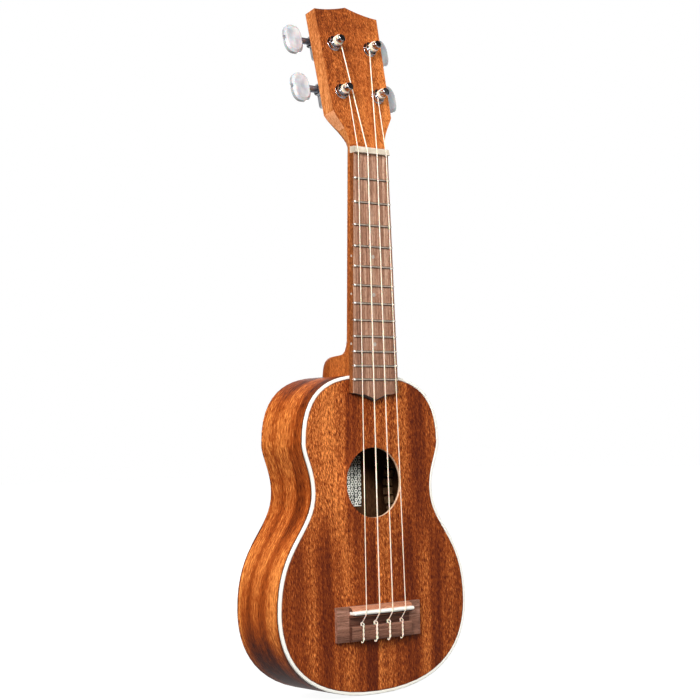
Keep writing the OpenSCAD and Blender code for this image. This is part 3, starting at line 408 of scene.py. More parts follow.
# the fretboard's wood, darker toward the body end, partly painted shade
boardWood = woodFinish("fretboardWood", {**boardLook, "bands": [(0.0, 0.55), (0.5, 0.5), (1.0, 0.25)],
                                         "bandsOver": -205.0, "bandsShare": 0.6})
bridgeWood = woodFinish("bridgeWood", bridgeLook)
rampHighlightWood = woodFinish("bridgeRamp", rampHighlightLook)
bridgeShadeWood = woodFinish("bridgeSlot", bridgeShadeLook)
innerWood = woodFinish("innerWood", innerLook)
liningWood = woodFinish("liningWood", liningLook)
spruceWood = woodFinish("spruceBrace", spruceLook)
print("woods mixed")


def plainFinish(name, look):
    finish, tree, shader = newFinish(name)
    source = addNode(tree, "TexCoord").outputs["Object"]
    place = addNode(tree, "Mapping", {"Vector": source, "Scale": grainSettings["toMillimetres"]}).outputs[0]
    cloud = noise(tree, place, look["cloud"], 3.0, 0.55)
    grit = noise(tree, place, look.get("grit", (4, 4, 4)), 2.0, 0.6)
    colour = ramp(tree, cloud, [(0.3, rgb(*look["dark"])), (0.7, rgb(*look["light"]))])
    tree.links.new(colour, shader.inputs["Base Color"])
    spread = look.get("roughSpread", 0.08)
    rough = calc(tree, "ADD", calc(tree, "MULTIPLY", grit, spread), look["rough"] - spread / 2)
    tree.links.new(rough, shader.inputs["Roughness"])
    bump = addNode(tree, "Bump", {"Height": grit, "Strength": look.get("bump", 0.05),
                                  "Distance": grainSettings["bumpDistance"]})
    tree.links.new(bump.outputs[0], shader.inputs["Normal"])
    for key, value in look.get("shader", {}).items():
        shader.inputs[key].default_value = value
    return finish


bindingFinish = plainFinish("creamBinding", {
    "dark": (240, 236, 222), "light": (250, 248, 240), "cloud": (0.05, 0.05, 0.02), "rough": 0.32,
    "shader": {"Coat Weight": 0.2, "Coat Roughness": 0.2}})
boneFinish = plainFinish("boneWhite", {
    "dark": (178, 163, 142), "light": (212, 199, 180), "cloud": (0.15, 0.3, 0.3), "rough": 0.36})
pearlFinish = plainFinish("pearlButton", {
    "dark": (164, 164, 168), "light": (204, 203, 204), "cloud": (0.16, 0.1, 0.09), "rough": 0.2,
    "shader": {"Coat Weight": 0.5, "Coat Roughness": 0.12, "Subsurface Weight": 0.3,
               "Subsurface Scale": 0.006}})
nylonFinish = plainFinish("nylonString", {
    "dark": (232, 208, 184), "light": (250, 232, 212), "cloud": (0.3, 0.3, 0.3), "rough": 0.28,
    "shader": {"Subsurface Weight": 0.25, "Subsurface Scale": 0.001}})
dotFinish = plainFinish("dotPearl", {
    "dark": (166, 152, 140), "light": (200, 188, 176), "cloud": (0.8, 0.8, 0.8), "rough": 0.3})
# a brighter nickel for the fret ends: a painted highlight
fretEndHighlight = plainFinish("fretEnds", {
    "dark": (232, 228, 222), "light": (250, 248, 244), "cloud": (0.6, 0.6, 0.6), "rough": 0.4,
    "shader": {"Metallic": 0.95}})
chromeFinish = plainFinish("chrome", {
    "dark": (166, 166, 170), "light": (200, 200, 204), "cloud": (0.4, 0.4, 0.4), "rough": 0.08,
    "roughSpread": 0.04, "bump": 0.02, "shader": {"Metallic": 1.0}})
# the worm shafts' chrome, painted far darker than the posts' chrome: painted dark reflections
shaftPaintedShade = plainFinish("shaftChrome", {
    "dark": (78, 82, 92), "light": (112, 116, 126), "cloud": (0.4, 0.4, 0.4), "rough": 0.2,
    "shader": {"Metallic": 0.6, "Specular IOR Level": 0.9, "Coat Weight": 0.8, "Coat Roughness": 0.06}})
satinFinish = plainFinish("satinSteel", {
    "dark": (206, 206, 208), "light": (232, 232, 234), "cloud": (0.4, 0.4, 0.4), "rough": 0.42,
    "shader": {"Metallic": 0.7}})
nickelFinish = plainFinish("fretNickel", {
    "dark": (164, 150, 136), "light": (206, 192, 178), "cloud": (0.6, 0.6, 0.6), "rough": 0.3,
    "shader": {"Metallic": 1.0}})
# a dark nickel for the frets' undersides: painted shade
paintedShadeNickel = plainFinish("fretUnderside", {
    "dark": (62, 50, 42), "light": (96, 80, 68), "cloud": (0.6, 0.6, 0.6), "rough": 0.45,
    "shader": {"Metallic": 0.6}})
cutEdgeFinish = plainFinish("cutEdgeWood", {
    "dark": (206, 158, 120), "light": (236, 204, 174), "cloud": (0.5, 0.5, 0.5), "rough": 0.5})
purflingFinish = plainFinish("darkPurfling", {
    "dark": (70, 34, 18), "light": (104, 54, 30), "cloud": (0.3, 0.3, 0.3), "rough": 0.5})
inkFinish = plainFinish("labelInk", {
    "dark": (26, 30, 26), "light": (84, 88, 78), "cloud": (0.35, 0.35, 0.35), "rough": 0.8})
# near black for the fretboard end's chamfer: a painted shadow
endShadePaint = plainFinish("fretboardEnd", {
    "dark": (20, 12, 8), "light": (44, 26, 16), "cloud": (0.4, 0.4, 0.4), "rough": 0.7})
brassFinish = plainFinish("gearBrass", {
    "dark": (170, 132, 66), "light": (206, 168, 96), "cloud": (0.6, 0.6, 0.6), "rough": 0.3,
    "shader": {"Metallic": 1.0}})
paperFinish = plainFinish("labelPaper", {
    "dark": (240, 236, 222), "light": (252, 250, 242), "cloud": (0.12, 0.1, 0.12), "rough": 0.85,
    "bump": 0.2})
print("plastics and metals mixed")

finishOfSlot = {
    "mahogany_top": topWood, "mahogany_side": backWood, "neck_wood": neckWood, "inner_wood": innerWood,
    "brace_wood": spruceWood, "fretboard_wood": boardWood, "bridge_wood": bridgeWood,
    "binding_cream": bindingFinish, "fret_nickel": nickelFinish, "dot_pearl": dotFinish,
    "bone_white": boneFinish, "nylon_string": nylonFinish, "chrome_hardware": chromeFinish,
    "gear_brass": brassFinish, "button_pearl": pearlFinish, "label_paper": paperFinish,
}
for nodeName, slotName in slotOfNode.items():
    paint(cadNodes[nodeName], finishOfSlot[slotName])
print("CAD nodes painted")

# outlines read from the CAD, for the sides' grain and for what follows the edge

soundHole = {"z": -0.2506, "radius": 0.0265, "keepOut": 0.03}
outlineCentreZ = -0.28
flatBy = 1e-5  # how far from a plane a vertex may lie and still count as on it


def turnOf(x, z):
    return math.atan2(x, outlineCentreZ - z)


def fromHole(place):
    return math.hypot(place.x, place.z - soundHole["z"])


def outlineLoop(nodeName):
    # the points of the node's front face, in order round the body from the tail
    mesh = cadNodes[nodeName].data
    front = min(v.co.y for v in mesh.vertices)
    places = {(round(v.co.x, 6), round(v.co.z, 6)) for v in mesh.vertices
              if v.co.y < front + flatBy and fromHole(v.co) > soundHole["keepOut"]}
    return sorted(places, key=lambda p: turnOf(*p))


def loopLengths(loop):
    steps = [0.0]
    for a, b in zip(loop, loop[1:]):
        steps.append(steps[-1] + math.dist(a, b))
    return steps


def walkLoop(loop, spacing):
    # places at an even spacing along the loop, each with its direction
    steps = loopLengths(loop)
    count = int(steps[-1] / spacing)
    found = []
    for i in range(count):
        s = (i + 0.5) * steps[-1] / count
        k = max(1, min(len(steps) - 1, int(np.searchsorted(steps, s))))
        a, b = Vector(loop[k - 1]), Vector(loop[k])
        found.append((a.lerp(b, (s - steps[k - 1]) / (steps[k] - steps[k - 1])), (b - a).normalized()))
    return found


bodyLoop = outlineLoop("back_plate")
topLoop = outlineLoop("soundboard")
bodyTurns = [turnOf(*p) for p in bodyLoop]
bodyLengths = loopLengths(bodyLoop)


def wrapGrain(piece):
    # u runs from the front to the back, v along the bent side
    layer = piece.data.uv_layers.new(name="bentGrain")
    for loop in piece.data.loops:
        place = piece.data.vertices[loop.vertex_index].co
        around = float(np.interp(turnOf(place.x, place.z), bodyTurns, bodyLengths))
        layer.data[loop.index].uv = (place.y, around)


def paintFaces(piece, finish, chosen):
    # the chosen faces take a finish of their own
    piece.data.materials.append(finish)
    for face in piece.data.polygons:
        if chosen(face):
            face.material_index = len(piece.data.materials) - 1


# body

bodySettings = {"holeEdge": 0.0004, "backEdge": 0.0009, "bindingEdge": 0.0007,
                "facing": 0.9, "cutLean": 0.8, "cutWide": 0.001, "sideLean": 0.5}


def facesInward(face):
    middle = face.center
    return (abs(face.normal.y) < bodySettings["sideLean"]
            and face.normal.x * middle.x + face.normal.z * (middle.z - outlineCentreZ) < 0)


soundboard = paint(refinedCopy("soundboard", "soundboardFace", bodySettings["holeEdge"], 2, 60, 20), topWood)
backPlate = paint(refinedCopy("back_plate", "backFace", bodySettings["backEdge"], 3, 60, 30), backWood)
paintFaces(soundboard, innerWood, lambda f: f.normal.y > bodySettings["facing"])
paintFaces(soundboard, cutEdgeFinish, lambda f: abs(f.normal.y) < bodySettings["cutLean"]
           and fromHole(f.center) < soundHole["radius"] + bodySettings["cutWide"])
paintFaces(backPlate, innerWood, lambda f: f.normal.y < -bodySettings["facing"])
for nodeName, pieceName in (("rib_bass", "sideBass"), ("rib_treble", "sideTreble")):
    side = paint(refinedCopy(nodeName, pieceName), ribWood)
    wrapGrain(side)
    paintFaces(side, innerWood, facesInward)
paint(refinedCopy("binding", "creamEdge", bodySettings["bindingEdge"], 3, 60, 30), bindingFinish)
print("body dressed")

# neck, head and fretboard

neckSettings = {"edge": 0.0003, "headEdge": 0.0008, "sideLean": 0.5, "backLean": 0.2,
                "bevelFacing": -0.1, "bevelLean": (0.1, 0.97)}
boardSettings = {"chamfer": 0.0011, "edge": 0.0003, "endLean": -0.3, "sideLean": 0.5, "cornerBeyond": 0.015}


def chamferEnd(piece, wide):
    # the front edges of the fretboard's pointed end
    front = min(v.co.y for v in piece.data.vertices)
    corner = min(v.co.z for v in piece.data.vertices if abs(v.co.x) > boardSettings["cornerBeyond"])
    pick(piece)
    bpy.ops.object.mode_set(mode="EDIT")
    bpy.ops.mesh.select_mode(type="EDGE")
    bpy.ops.mesh.select_all(action="DESELECT")
    bpy.ops.object.mode_set(mode="OBJECT")
    for edge in piece.data.edges:
        ends = [piece.data.vertices[i].co for i in edge.vertices]
        edge.select = all(co.y < front + flatBy and co.z < corner + flatBy for co in ends)
    bpy.ops.object.mode_set(mode="EDIT")
    bpy.ops.mesh.bevel(offset=wide, segments=1)
    bpy.ops.object.mode_set(mode="OBJECT")


bevelLow, bevelHigh = neckSettings["bevelLean"]
paint(refinedCopy("neck", "neckShaft", neckSettings["edge"], 2, 50, 40), neckWood)
head = paint(refinedCopy("headstock", "headFace", neckSettings["headEdge"], 2, 40, 30), headWood)
# the head's sides take the lighter wood, a painted light
paintFaces(head, headSideWood, lambda f: abs(f.normal.x) > neckSettings["sideLean"])
paintFaces(head, neckWood, lambda f: f.normal.y > neckSettings["backLean"])
# a painted highlight on the bevels of the head's edges
paintFaces(head, headEdgeHighlightWood, lambda f: f.normal.y < neckSettings["bevelFacing"]
           and bevelLow < abs(f.normal.x) < bevelHigh)
fingerboard = paint(refinedCopy("fretboard", "fingerboard"), boardWood)
chamferEnd(fingerboard, boardSettings["chamfer"])
# the end's chamfer painted near black, a painted shadow below the fretboard's end
paintFaces(fingerboard, endShadePaint, lambda f: f.normal.z < boardSettings["endLean"])
bevelEdges(fingerboard, boardSettings["edge"], 2, 50)
# the fretboard's sides painted darker, a painted shade
paintFaces(fingerboard, boardSideWood, lambda f: abs(f.normal.x) > boardSettings["sideLean"])

# frets, and the rounded end of each, painted brighter as a painted highlight: its half sizes, and how far in
# and down it lies
fretSettings = {"edge": 0.00018, "underLean": -0.25, "endLean": 0.5, "half": (0.0011, 0.0007, 0.0009),
                "inset": 0.0008, "down": 0.0003, "apart": 0.003}
fretWires = paint(refinedCopy("frets", "fretWires", fretSettings["edge"], 2, 50, 40), nickelFinish)
# the frets' undersides painted dark, a painted shade
paintFaces(fretWires, paintedShadeNickel, lambda f: f.normal.z < fretSettings["underLean"])
# the ends of the wires painted brighter, a painted highlight
paintFaces(fretWires, fretEndHighlight, lambda f: abs(f.normal.x) > fretSettings["endLean"])
fretRows = []
for place in sorted((v.co for v in fretWires.data.vertices), key=lambda co: co.z):
    if not fretRows or place.z - fretRows[-1][-1].z > fretSettings["apart"]:
        fretRows.append([])
    fretRows[-1].append(place)
tips = []
for row in fretRows:
    for side in (-1, 1):
        reach = max(side * co.x for co in row)
        bpy.ops.mesh.primitive_uv_sphere_add(segments=12, ring_count=8, radius=1)
        tip = bpy.context.object
        tip.scale = fretSettings["half"]
        crown = min(co.y for co in row)
        tip.location = (side * (reach - fretSettings["inset"]), crown + fretSettings["down"],
                        (row[0].z + row[-1].z) / 2)
        tips.append(settle(tip))
# the tips take the painted highlight; those on the treble side go back to plain nickel
fretTips = paint(joined(tips, "fretTips"), fretEndHighlight)
paintFaces(fretTips, nickelFinish, lambda f: f.center.x > 0)
smoothShade(fretTips, 60)
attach(fretTips, bodyOfNode["frets"])
print("neck, head and frets dressed")

# nut, bridge and saddle

# y is minus the height above the soundboard, and "along" is the distance from the bridge's rear edge
bridgeSettings = {
    "nutEdge": 0.0003, "edge": 0.00025, "saddleEdge": 0.0009, "middleHalf": 0.0295, "wingHalf": 0.035,
    "rampAbove": -0.0032, "rampFrom": 0.0222, "channelY": (-0.0066, -0.001), "channelAlong": (0.0112, 0.018),
    "wallLean": 0.7, "slotAbove": -0.0068, "slotAlong": (0.0182, 0.0202),
    "ledgeAbove": -0.0055, "ledgeLean": -0.3, "ledgeAlong": (0.0172, 0.0186),
}
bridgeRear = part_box("bridge")[0].z


def alongBridge(face, name):
    low, high = bridgeSettings[name]
    return low < face.center.z - bridgeRear < high


def inChannel(face):
    b = bridgeSettings
    low, high = b["channelY"]
    floor = abs(face.center.x) < b["middleHalf"] and alongBridge(face, "channelAlong")
    wall = abs(face.normal.x) > b["wallLean"] and abs(face.center.x) < b["wingHalf"]
    return low < face.center.y < high and (floor or wall)


def dressBridge():
    b = bridgeSettings
    bridge = paint(refinedCopy("bridge", "bridgeBlock", b["edge"], 2, 25, 30), bridgeWood)
    # the channel and the wings share one face until it is cut beside the raised middle
    for cut in (-b["middleHalf"], b["middleHalf"]):
        editAll(bridge, lambda: bpy.ops.mesh.bisect(plane_co=(cut, 0, 0), plane_no=(1, 0, 0)))
    # painted light on the raised middle's upward front faces
    paintFaces(bridge, rampHighlightWood,
               lambda f: f.center.y < b["rampAbove"] and f.center.z > bridgeRear + b["rampFrom"])
    # painted shade in the channel and on the raised middle's side walls
    paintFaces(bridge, bridgeShadeWood, inChannel)
    # painted shadow of the saddle, on the ridge just behind it
    paintFaces(bridge, bridgeShadeWood, lambda f: f.center.y < b["slotAbove"] and alongBridge(f, "slotAlong"))
    # a painted highlight on the ridge's rear edge
    paintFaces(bridge, rampHighlightWood, lambda f: f.center.y < b["ledgeAbove"] and f.normal.z < b["ledgeLean"]
               and alongBridge(f, "ledgeAlong"))


paint(refinedCopy("nut", "nutBlock", bridgeSettings["nutEdge"], 2, 50, 30), boneFinish)
dressBridge()
paint(refinedCopy("saddle", "saddleBar", bridgeSettings["saddleEdge"], 4, 60, 35), bindingFinish)
print("nut, bridge and saddle dressed")

# tuning machines

# by node: the piece, its finish, its rounded edge, that edge's segments and least angle, the shading angle
eachMachine = {
    "post_": ("windingPost", chromeFinish, 0.0004, 3, 50, 35),
    "worm_shaft_": ("wormShaft", shaftPaintedShade, 0.0, 2, 30, 40),
    "worm_wheel_": ("wormWheel", brassFinish, 0.0, 2, 30, 30),
    "tuner_housing_": ("gearHousing", satinFinish, 0.0005, 3, 30, 30),
    "tuner_button_": ("pearlButton", pearlFinish, 0.0007, 4, 18, 40),
    "button_screw_": ("buttonScrew", satinFinish, 0.0002, 2, 50, 35),
}
allMachines = {
    "tuner_bushings": ("hexBushings", chromeFinish, 0.0004, 3, 25, 30),
    "tuner_washers": ("postWashers", chromeFinish, 0.0002, 2, 50, 35),
    "tuner_base_plates": ("basePlates", satinFinish, 0.0002, 2, 50, 35),
    "tuner_screws": ("plateScrews", chromeFinish, 0.0002, 2, 50, 35),
}
for name in stringNames:
    for nodeStem, (pieceStem, finish, *edge) in eachMachine.items():
        paint(refinedCopy(nodeStem + name, pieceStem + name.upper(), *edge), finish)
for nodeName, (pieceName, finish, *edge) in allMachines.items():
    paint(refinedCopy(nodeName, pieceName, *edge), finish)
print("tuning machines dressed")

# strings, their knots at the bridge and their turns round the posts

stringSettings = {
    "wide": {"g": 0.0007, "c": 0.00095, "e": 0.00085, "a": 0.0007},
    "nutSpread": 0.0278, "nutAction": 0.0005, "saddleSpread": 0.0386,
    "tieLong": 0.0112, "tieTop": -0.0064, "holeDepth": -0.0043,
    "twists": 1.6, "twistSteps": 14, "ringWide": 0.0029, "ringLean": 30,
    "twistFrom": 0.0012, "twistTo": -0.0002,  # from the rear edge, and from the front of the twist
    "curledEnd": [(-0.0002, 0.0001, 0.0002), (-0.0004, 0.0006, -0.0008),
                  (-0.0011, 0.0006, -0.0011), (-0.0018, 0.0003, -0.0006)],
    "atNut": 0.0002, "offSaddle": 0.00003, "offTurns": 0.00005,
}
postSettings = {
    "out": 0.018, "wide": 0.006, "tilt": 12.3, "headSet": 0.0015, "nutThick": 0.005,
    "along": {"g": 0.0445, "c": 0.0842, "e": 0.0842, "a": 0.0445},
    "firstTurn": -0.0042, "holeUp": -0.0096, "turns": 3, "turnSteps": 28, "riseSteps": 12,
    "clear": 0.00012, "pitch": 1.01,  # the gap to the post, and a turn's rise in string widths
}
stringAcross = {"g": -1.0, "c": -1 / 3, "e": 1 / 3, "a": 1.0}
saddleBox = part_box("saddle")
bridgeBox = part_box("bridge")
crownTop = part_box("frets")[0].y


def headPoint(x, y, along):
    tilt = math.radians(postSettings["tilt"])
    return Vector((x, -postSettings["headSet"] + y * math.cos(tilt) + along * math.sin(tilt),
                   postSettings["nutThick"] - y * math.sin(tilt) + along * math.cos(tilt)))


def coilRadius(name):
    return postSettings["wide"] / 2 + postSettings["clear"] + stringSettings["wide"][name] / 2


def smoothRoute(points, steps=6):
    # a curve through every point, as a Catmull-Rom spline
    route = []
    ends = [points[0] * 2 - points[1]] + list(points) + [points[-1] * 2 - points[-2]]
    for a, b, c, d in zip(ends, ends[1:], ends[2:], ends[3:]):
        for i in range(steps):
            t = i / steps
            route.append(0.5 * ((2 * b) + (c - a) * t + (2 * a - 5 * b + 4 * c - d) * t * t
                                + (3 * b - a - 3 * c + d) * t ** 3))
    return route + [points[-1]]


def tubeAlong(name, route, radius, closed=False):
    bpy.ops.object.select_all(action="DESELECT")
    bpy.ops.curve.primitive_nurbs_path_add()
    path = bpy.context.object
    path.name = name
    path.data.splines.clear()
    spline = path.data.splines.new("POLY")
    spline.points.add(len(route) - 1)
    for point, place in zip(spline.points, route):
        point.co = (*place, 1)
    spline.use_cyclic_u = closed
    path.data.bevel_depth = radius
    path.data.bevel_resolution = 3
    path.data.use_fill_caps = True
    bpy.ops.object.convert(target="MESH")
    tube = bpy.context.object
    tube.data.name = name
    editAll(tube, lambda: bpy.ops.mesh.remove_doubles(threshold=1e-7),
            lambda: bpy.ops.mesh.normals_make_consistent(inside=False))
    smoothShade(tube, 50)
    return tube


def knotRoute(name):
    # through the block, up over its rear edge, twisted forward to a ring and back to a curled end
    s = stringSettings
    x = stringAcross[name] * s["saddleSpread"] / 2
    r = s["wide"][name] / 2
    rear = bridgeBox[0].z
    front = rear + s["tieLong"]
    axisY = s["tieTop"] - 2 * r - 0.0001
    twistStart, twistEnd = rear + s["twistFrom"], front + s["twistTo"]
    strand = []
    for i in range(s["twistSteps"] + 1):
        t = i / s["twistSteps"]
        turn = math.pi / 2 + 2 * math.pi * s["twists"] * t
        strand.append((t, turn))
    go = [Vector((x + r * math.cos(a), axisY + r * math.sin(a), twistStart + (twistEnd - twistStart) * t))
          for t, a in strand]
    back = [Vector((x - r * math.cos(a), axisY - r * math.sin(a), twistStart + (twistEnd - twistStart) * t))
            for t, a in reversed(strand)]
    lean = math.radians(s["ringLean"])
    ringR = s["ringWide"] / 2 + (r - 0.0004)
    centre = Vector((x - 0.0004, axisY + ringR * math.sin(lean), front + 0.0003 + ringR * math.cos(lean)))
    ring = []
    side = 1 if go[-1].x > x else -1
    for i in range(9):
        a = math.radians(-60 + 300 * i / 8)
        out, up = side * math.cos(a) * ringR, math.sin(a) * ringR
        ring.append(centre + Vector((out, up * math.sin(lean), up * math.cos(lean))))
    through = [Vector((x, s["holeDepth"], front + 0.0006)), Vector((x, s["holeDepth"], front - 0.004)),
               Vector((x, s["holeDepth"], rear + 0.001)),
               Vector((x, s["holeDepth"] - 0.0002, rear - r - 0.0003)),
               Vector((x, s["holeDepth"] - 0.0012, rear - r - 0.0005)),
               Vector((x, s["tieTop"] - r * 0.6, rear - r * 0.4))]
    tail = [Vector((x + right, axisY + down, rear + up)) for right, down, up in s["curledEnd"]]
    return smoothRoute(through + go + ring + back + tail, 4)


def stringRoute(name):
    s = stringSettings
    r = s["wide"][name] / 2
    nut = Vector((stringAcross[name] * s["nutSpread"] / 2, crownTop - s["nutAction"] - r, s["atNut"]))
    x = stringAcross[name] * s["saddleSpread"] / 2
    crownR = (saddleBox[1].z - saddleBox[0].z) / 2
    saddleZ = (saddleBox[1].z + saddleBox[0].z) / 2
    wrap = crownR + r + s["offSaddle"]
    over = [Vector((x, saddleBox[0].y + crownR - wrap * math.cos(math.radians(a)),
                    saddleZ - wrap * math.sin(math.radians(a)))) for a in range(0, 36, 7)]
    side = -1 if name in "gc" else 1
    touch = headPoint(side * (postSettings["out"] - coilRadius(name)), postSettings["firstTurn"] - r,
                      postSettings["along"][name])
    way = (touch - nut).normalized()
    # the straight part stops beside its turns, so that the post turns free of it
    short = math.sqrt((coilRadius(name) + 2 * r + s["offTurns"]) ** 2 - coilRadius(name) ** 2)
    return [touch - way * short, nut + Vector((0, 0.0001, 0.0008)), nut, nut - Vector((0, 0, 0.0006))] + over


def coilRoute(name):
    p = postSettings
    side = -1 if name in "gc" else 1
    wide = stringSettings["wide"][name]
    radius = coilRadius(name)
    start = p["firstTurn"] - wide / 2
    route = []

    def at(across, y, along):
        return headPoint(side * (p["out"] + across), y, p["along"][name] + along)

    steps, risers = p["turnSteps"], p["riseSteps"]
    for i in range(p["turns"] * steps + 1):
        a = math.pi - 2 * math.pi * i / steps
        route.append(at(radius * math.cos(a), start - wide * p["pitch"] * i / steps, radius * math.sin(a)))
    top = start - wide * p["pitch"] * p["turns"]
    # half a turn more, up to the hole through the post
    for i in range(1, risers + 1):
        a = math.pi - math.pi * i / risers
        rise = (1 - math.cos(math.pi * i / risers)) / 2
        route.append(at(radius * math.cos(a), top + (p["holeUp"] - top) * rise, radius * math.sin(a)))
    route += [at(radius - 0.0003, p["holeUp"], -0.0002), at(radius - 0.001, p["holeUp"], 0),
              at(0, p["holeUp"], 0), at(-p["wide"] / 2 - 0.0012, p["holeUp"], 0)]
    return route


for name in stringNames:
    wide = stringSettings["wide"][name]
    string = tubeAlong("string" + name.upper(), stringRoute(name) + knotRoute(name), wide / 2)
    paint(string, nylonFinish)
    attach(string, bodyOfNode["string_" + name])
    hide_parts("string_" + name)
    coil = paint(tubeAlong("postTurns" + name.upper(), coilRoute(name), wide / 2), nylonFinish)
    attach(coil, bodyOfNode["string_coil_" + name])
    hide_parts("string_coil_" + name)
print("strings strung")

# kerfed linings inside

liningSettings = {"long": 0.0054, "step": 0.0064, "thick": 0.0055, "ribThick": 0.002, "slope": 0.0036,
                  "edge": 0.0003, "neckHalf": 0.0285, "tailHalf": 0.0265, "frontTo": 0.02}


def liningBlock(low, high):
    # one block of the strip, at the origin: x along the side, z inwards, its free edge sloped
    bpy.ops.object.select_all(action="DESELECT")
    bpy.ops.mesh.primitive_cube_add(size=1)
    block = bpy.context.object
    block.scale = (liningSettings["long"], high - low, liningSettings["thick"])
    settle(block)
    deep = 1 if low < liningSettings["frontTo"] else -1  # the way into the body, front strip or back
    pick(block)
    bpy.ops.object.mode_set(mode="EDIT")
    bpy.ops.mesh.select_all(action="DESELECT")
    bpy.ops.object.mode_set(mode="OBJECT")
    for v in block.data.vertices:
        v.select = v.co.z > 0 and v.co.y * deep > 0
    bpy.ops.object.mode_set(mode="EDIT")
    bpy.ops.mesh.select_mode(type="VERT")
    bpy.ops.transform.translate(value=(0, 0, -liningSettings["slope"]))
    bpy.ops.object.mode_set(mode="OBJECT")
    bevelEdges(block, liningSettings["edge"], 1, 30)
    return block


def lineWithBlocks(nodeName, pieceName):
    low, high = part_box(nodeName)[0].y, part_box(nodeName)[1].y
    block = liningBlock(low, high)
    copies = []
    for place, way in walkLoop(bodyLoop, liningSettings["step"]):
        inward = Vector((-way.y, way.x))
        middle = place + inward * (liningSettings["ribThick"] + liningSettings["thick"] / 2)
        # the blocks at neck and tail take the place of the strip
        if abs(middle.x) < liningSettings["neckHalf" if middle.y > soundHole["z"] else "tailHalf"]:
            continue
        copy = block.copy()
        copy.data = block.data.copy()
        scene.collection.objects.link(copy)
        copy.data.transform(Matrix((
            (way.x, 0, inward.x, middle.x), (0, 1, 0, (low + high) / 2),
            (way.y, 0, inward.y, middle.y), (0, 0, 0, 1))))
        copies.append(copy)
    bpy.data.objects.remove(block)
    strip = joined(copies, pieceName)
    editAll(strip, lambda: bpy.ops.mesh.normals_make_consistent(inside=False))
    paint(strip, liningWood)
    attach(strip, bodyOfNode[nodeName])
    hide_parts(nodeName)


lineWithBlocks("lining_front", "kerfedLiningFront")
lineWithBlocks("lining_back", "kerfedLiningBack")
print("linings kerfed")

# the thin dark line between the soundboard and its cream edge

purflingSettings = {"inset": 0.00015, "wide": 0.0003, "proud": 0.00003}


def purflingRoute():
    inset = purflingSettings["inset"] + purflingSettings["wide"] / 2
    route = []
    for (x, z), (nextX, nextZ) in zip(topLoop, topLoop[1:] + topLoop[:1]):
        way = Vector((nextX - x, nextZ - z))
        if way.length > flatBy:
            inward = Vector((-way.y, way.x)).normalized() * inset
            route.append(Vector((x + inward.x, 0, z + inward.y)))
    return route


purfling = tubeAlong("darkPurfling", purflingRoute(), purflingSettings["wide"] / 2, True)
paint(purfling, purflingFinish)
editAll(purfling, lambda: bpy.ops.transform.resize(
    value=(1, 2 * purflingSettings["proud"] / purflingSettings["wide"], 1), center_override=(0, 0, 0)))
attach(purfling, bodyOfNode["soundboard"])
print("purfling laid")

# image points, in pixels of the photograph's 700 x 700 frame

frameSize = 700
shownSettings = {"rimWide": 0.0012, "rimDeep": 0.001, "hiddenBy": 0.0015}  # metres
# a corner or side that shows: its place, the piece, and the way to look for the furthest vertex
imageCorners = {
    "headCornerLeft": ((312.6, 7.1), "headFace", (-0.5, -1)),
    "headCornerRight": ((374.3, 18.9), "headFace", (1, -0.6)),
    "nutLeft": ((350.5, 149.0), "nutBlock", (-1, 0)),
    "nutRight": ((388.5, 154.5), "nutBlock", (1, 0)),
    "fretboardTip": ((374.0, 400.2), "fingerboard", (0, 1)),
    "holeLeft": ((347.9, 483.0), "holeRim", (-1, 0)),
    "holeRight": ((401.0, 480.5), "holeRim", (1, 0)),
    "holeTop": ((374.6, 446.4), "holeRim", (0, -1)),
    "holeBottom": ((374.4, 516.9), "holeRim", (0, 1)),
    "saddleLeft": ((352.3, 613.3), "saddleBar", (-1, 0)),
    "saddleRight": ((411.4, 606.5), "saddleBar", (1, 0)),
    "bridgeLowerLeft": ((336.7, 642.8), "bridgeBlock", (-1, 1)),
    "bridgeLowerRight": ((419.5, 631.7), "bridgeBlock", (1, 1)),
}
imageMiddles = {
    "buttonUpperLeft": ((291.0, 40.6), "pearlButtonC"),
    "buttonLowerLeft": ((301.4, 87.1), "pearlButtonG"),
    "labelPrint": ((354.0, 481.5), "labelPrint"),
}


def focalPixels():
    return frameSize * camera.data.lens / camera.data.sensor_width


def cameraRay(point):
    x, y = point
    way = Vector((x - frameSize / 2 + camera.data.shift_x * frameSize,
                  frameSize / 2 - y + camera.data.shift_y * frameSize, -focalPixels()))
    return camera.matrix_world.translation, (camera.matrix_world.to_3x3() @ way).normalized()


def pixelOf(place):
    local = camera.matrix_world.inverted() @ place
    scale = focalPixels() / -local.z
    return (frameSize / 2 - camera.data.shift_x * frameSize + local.x * scale,
            frameSize / 2 + camera.data.shift_y * frameSize - local.y * scale)


def placeOn(point, carrier):
    # where the ray through an image point meets the carrier, or the carrier's place nearest the ray
    start, way = cameraRay(point)
    mesh = carrier.data
    tree = BVHTree.FromPolygons([v.co for v in mesh.vertices], [f.vertices[:] for f in mesh.polygons])
    place = tree.ray_cast(start, way)[0]
    if place is None:
        near = min((v.co for v in mesh.vertices), key=lambda co: (co - start).cross(way).length)
        place = tree.find_nearest(near)[0]
    return place


# the label's printed border, a generic ornament of small rings with no words

labelSettings = {
    "inkWide": 0.0145, "inkHigh": 0.0385, "inkThick": 0.00006, "curl": 0.0012, "curlThick": 0.0005,
    "flatten": 0.12, "columns": 4, "rows": 11,
    "stagger": 0.4, "smallest": 0.75, "grow": 0.35,  # shares of a row and of a ring
}


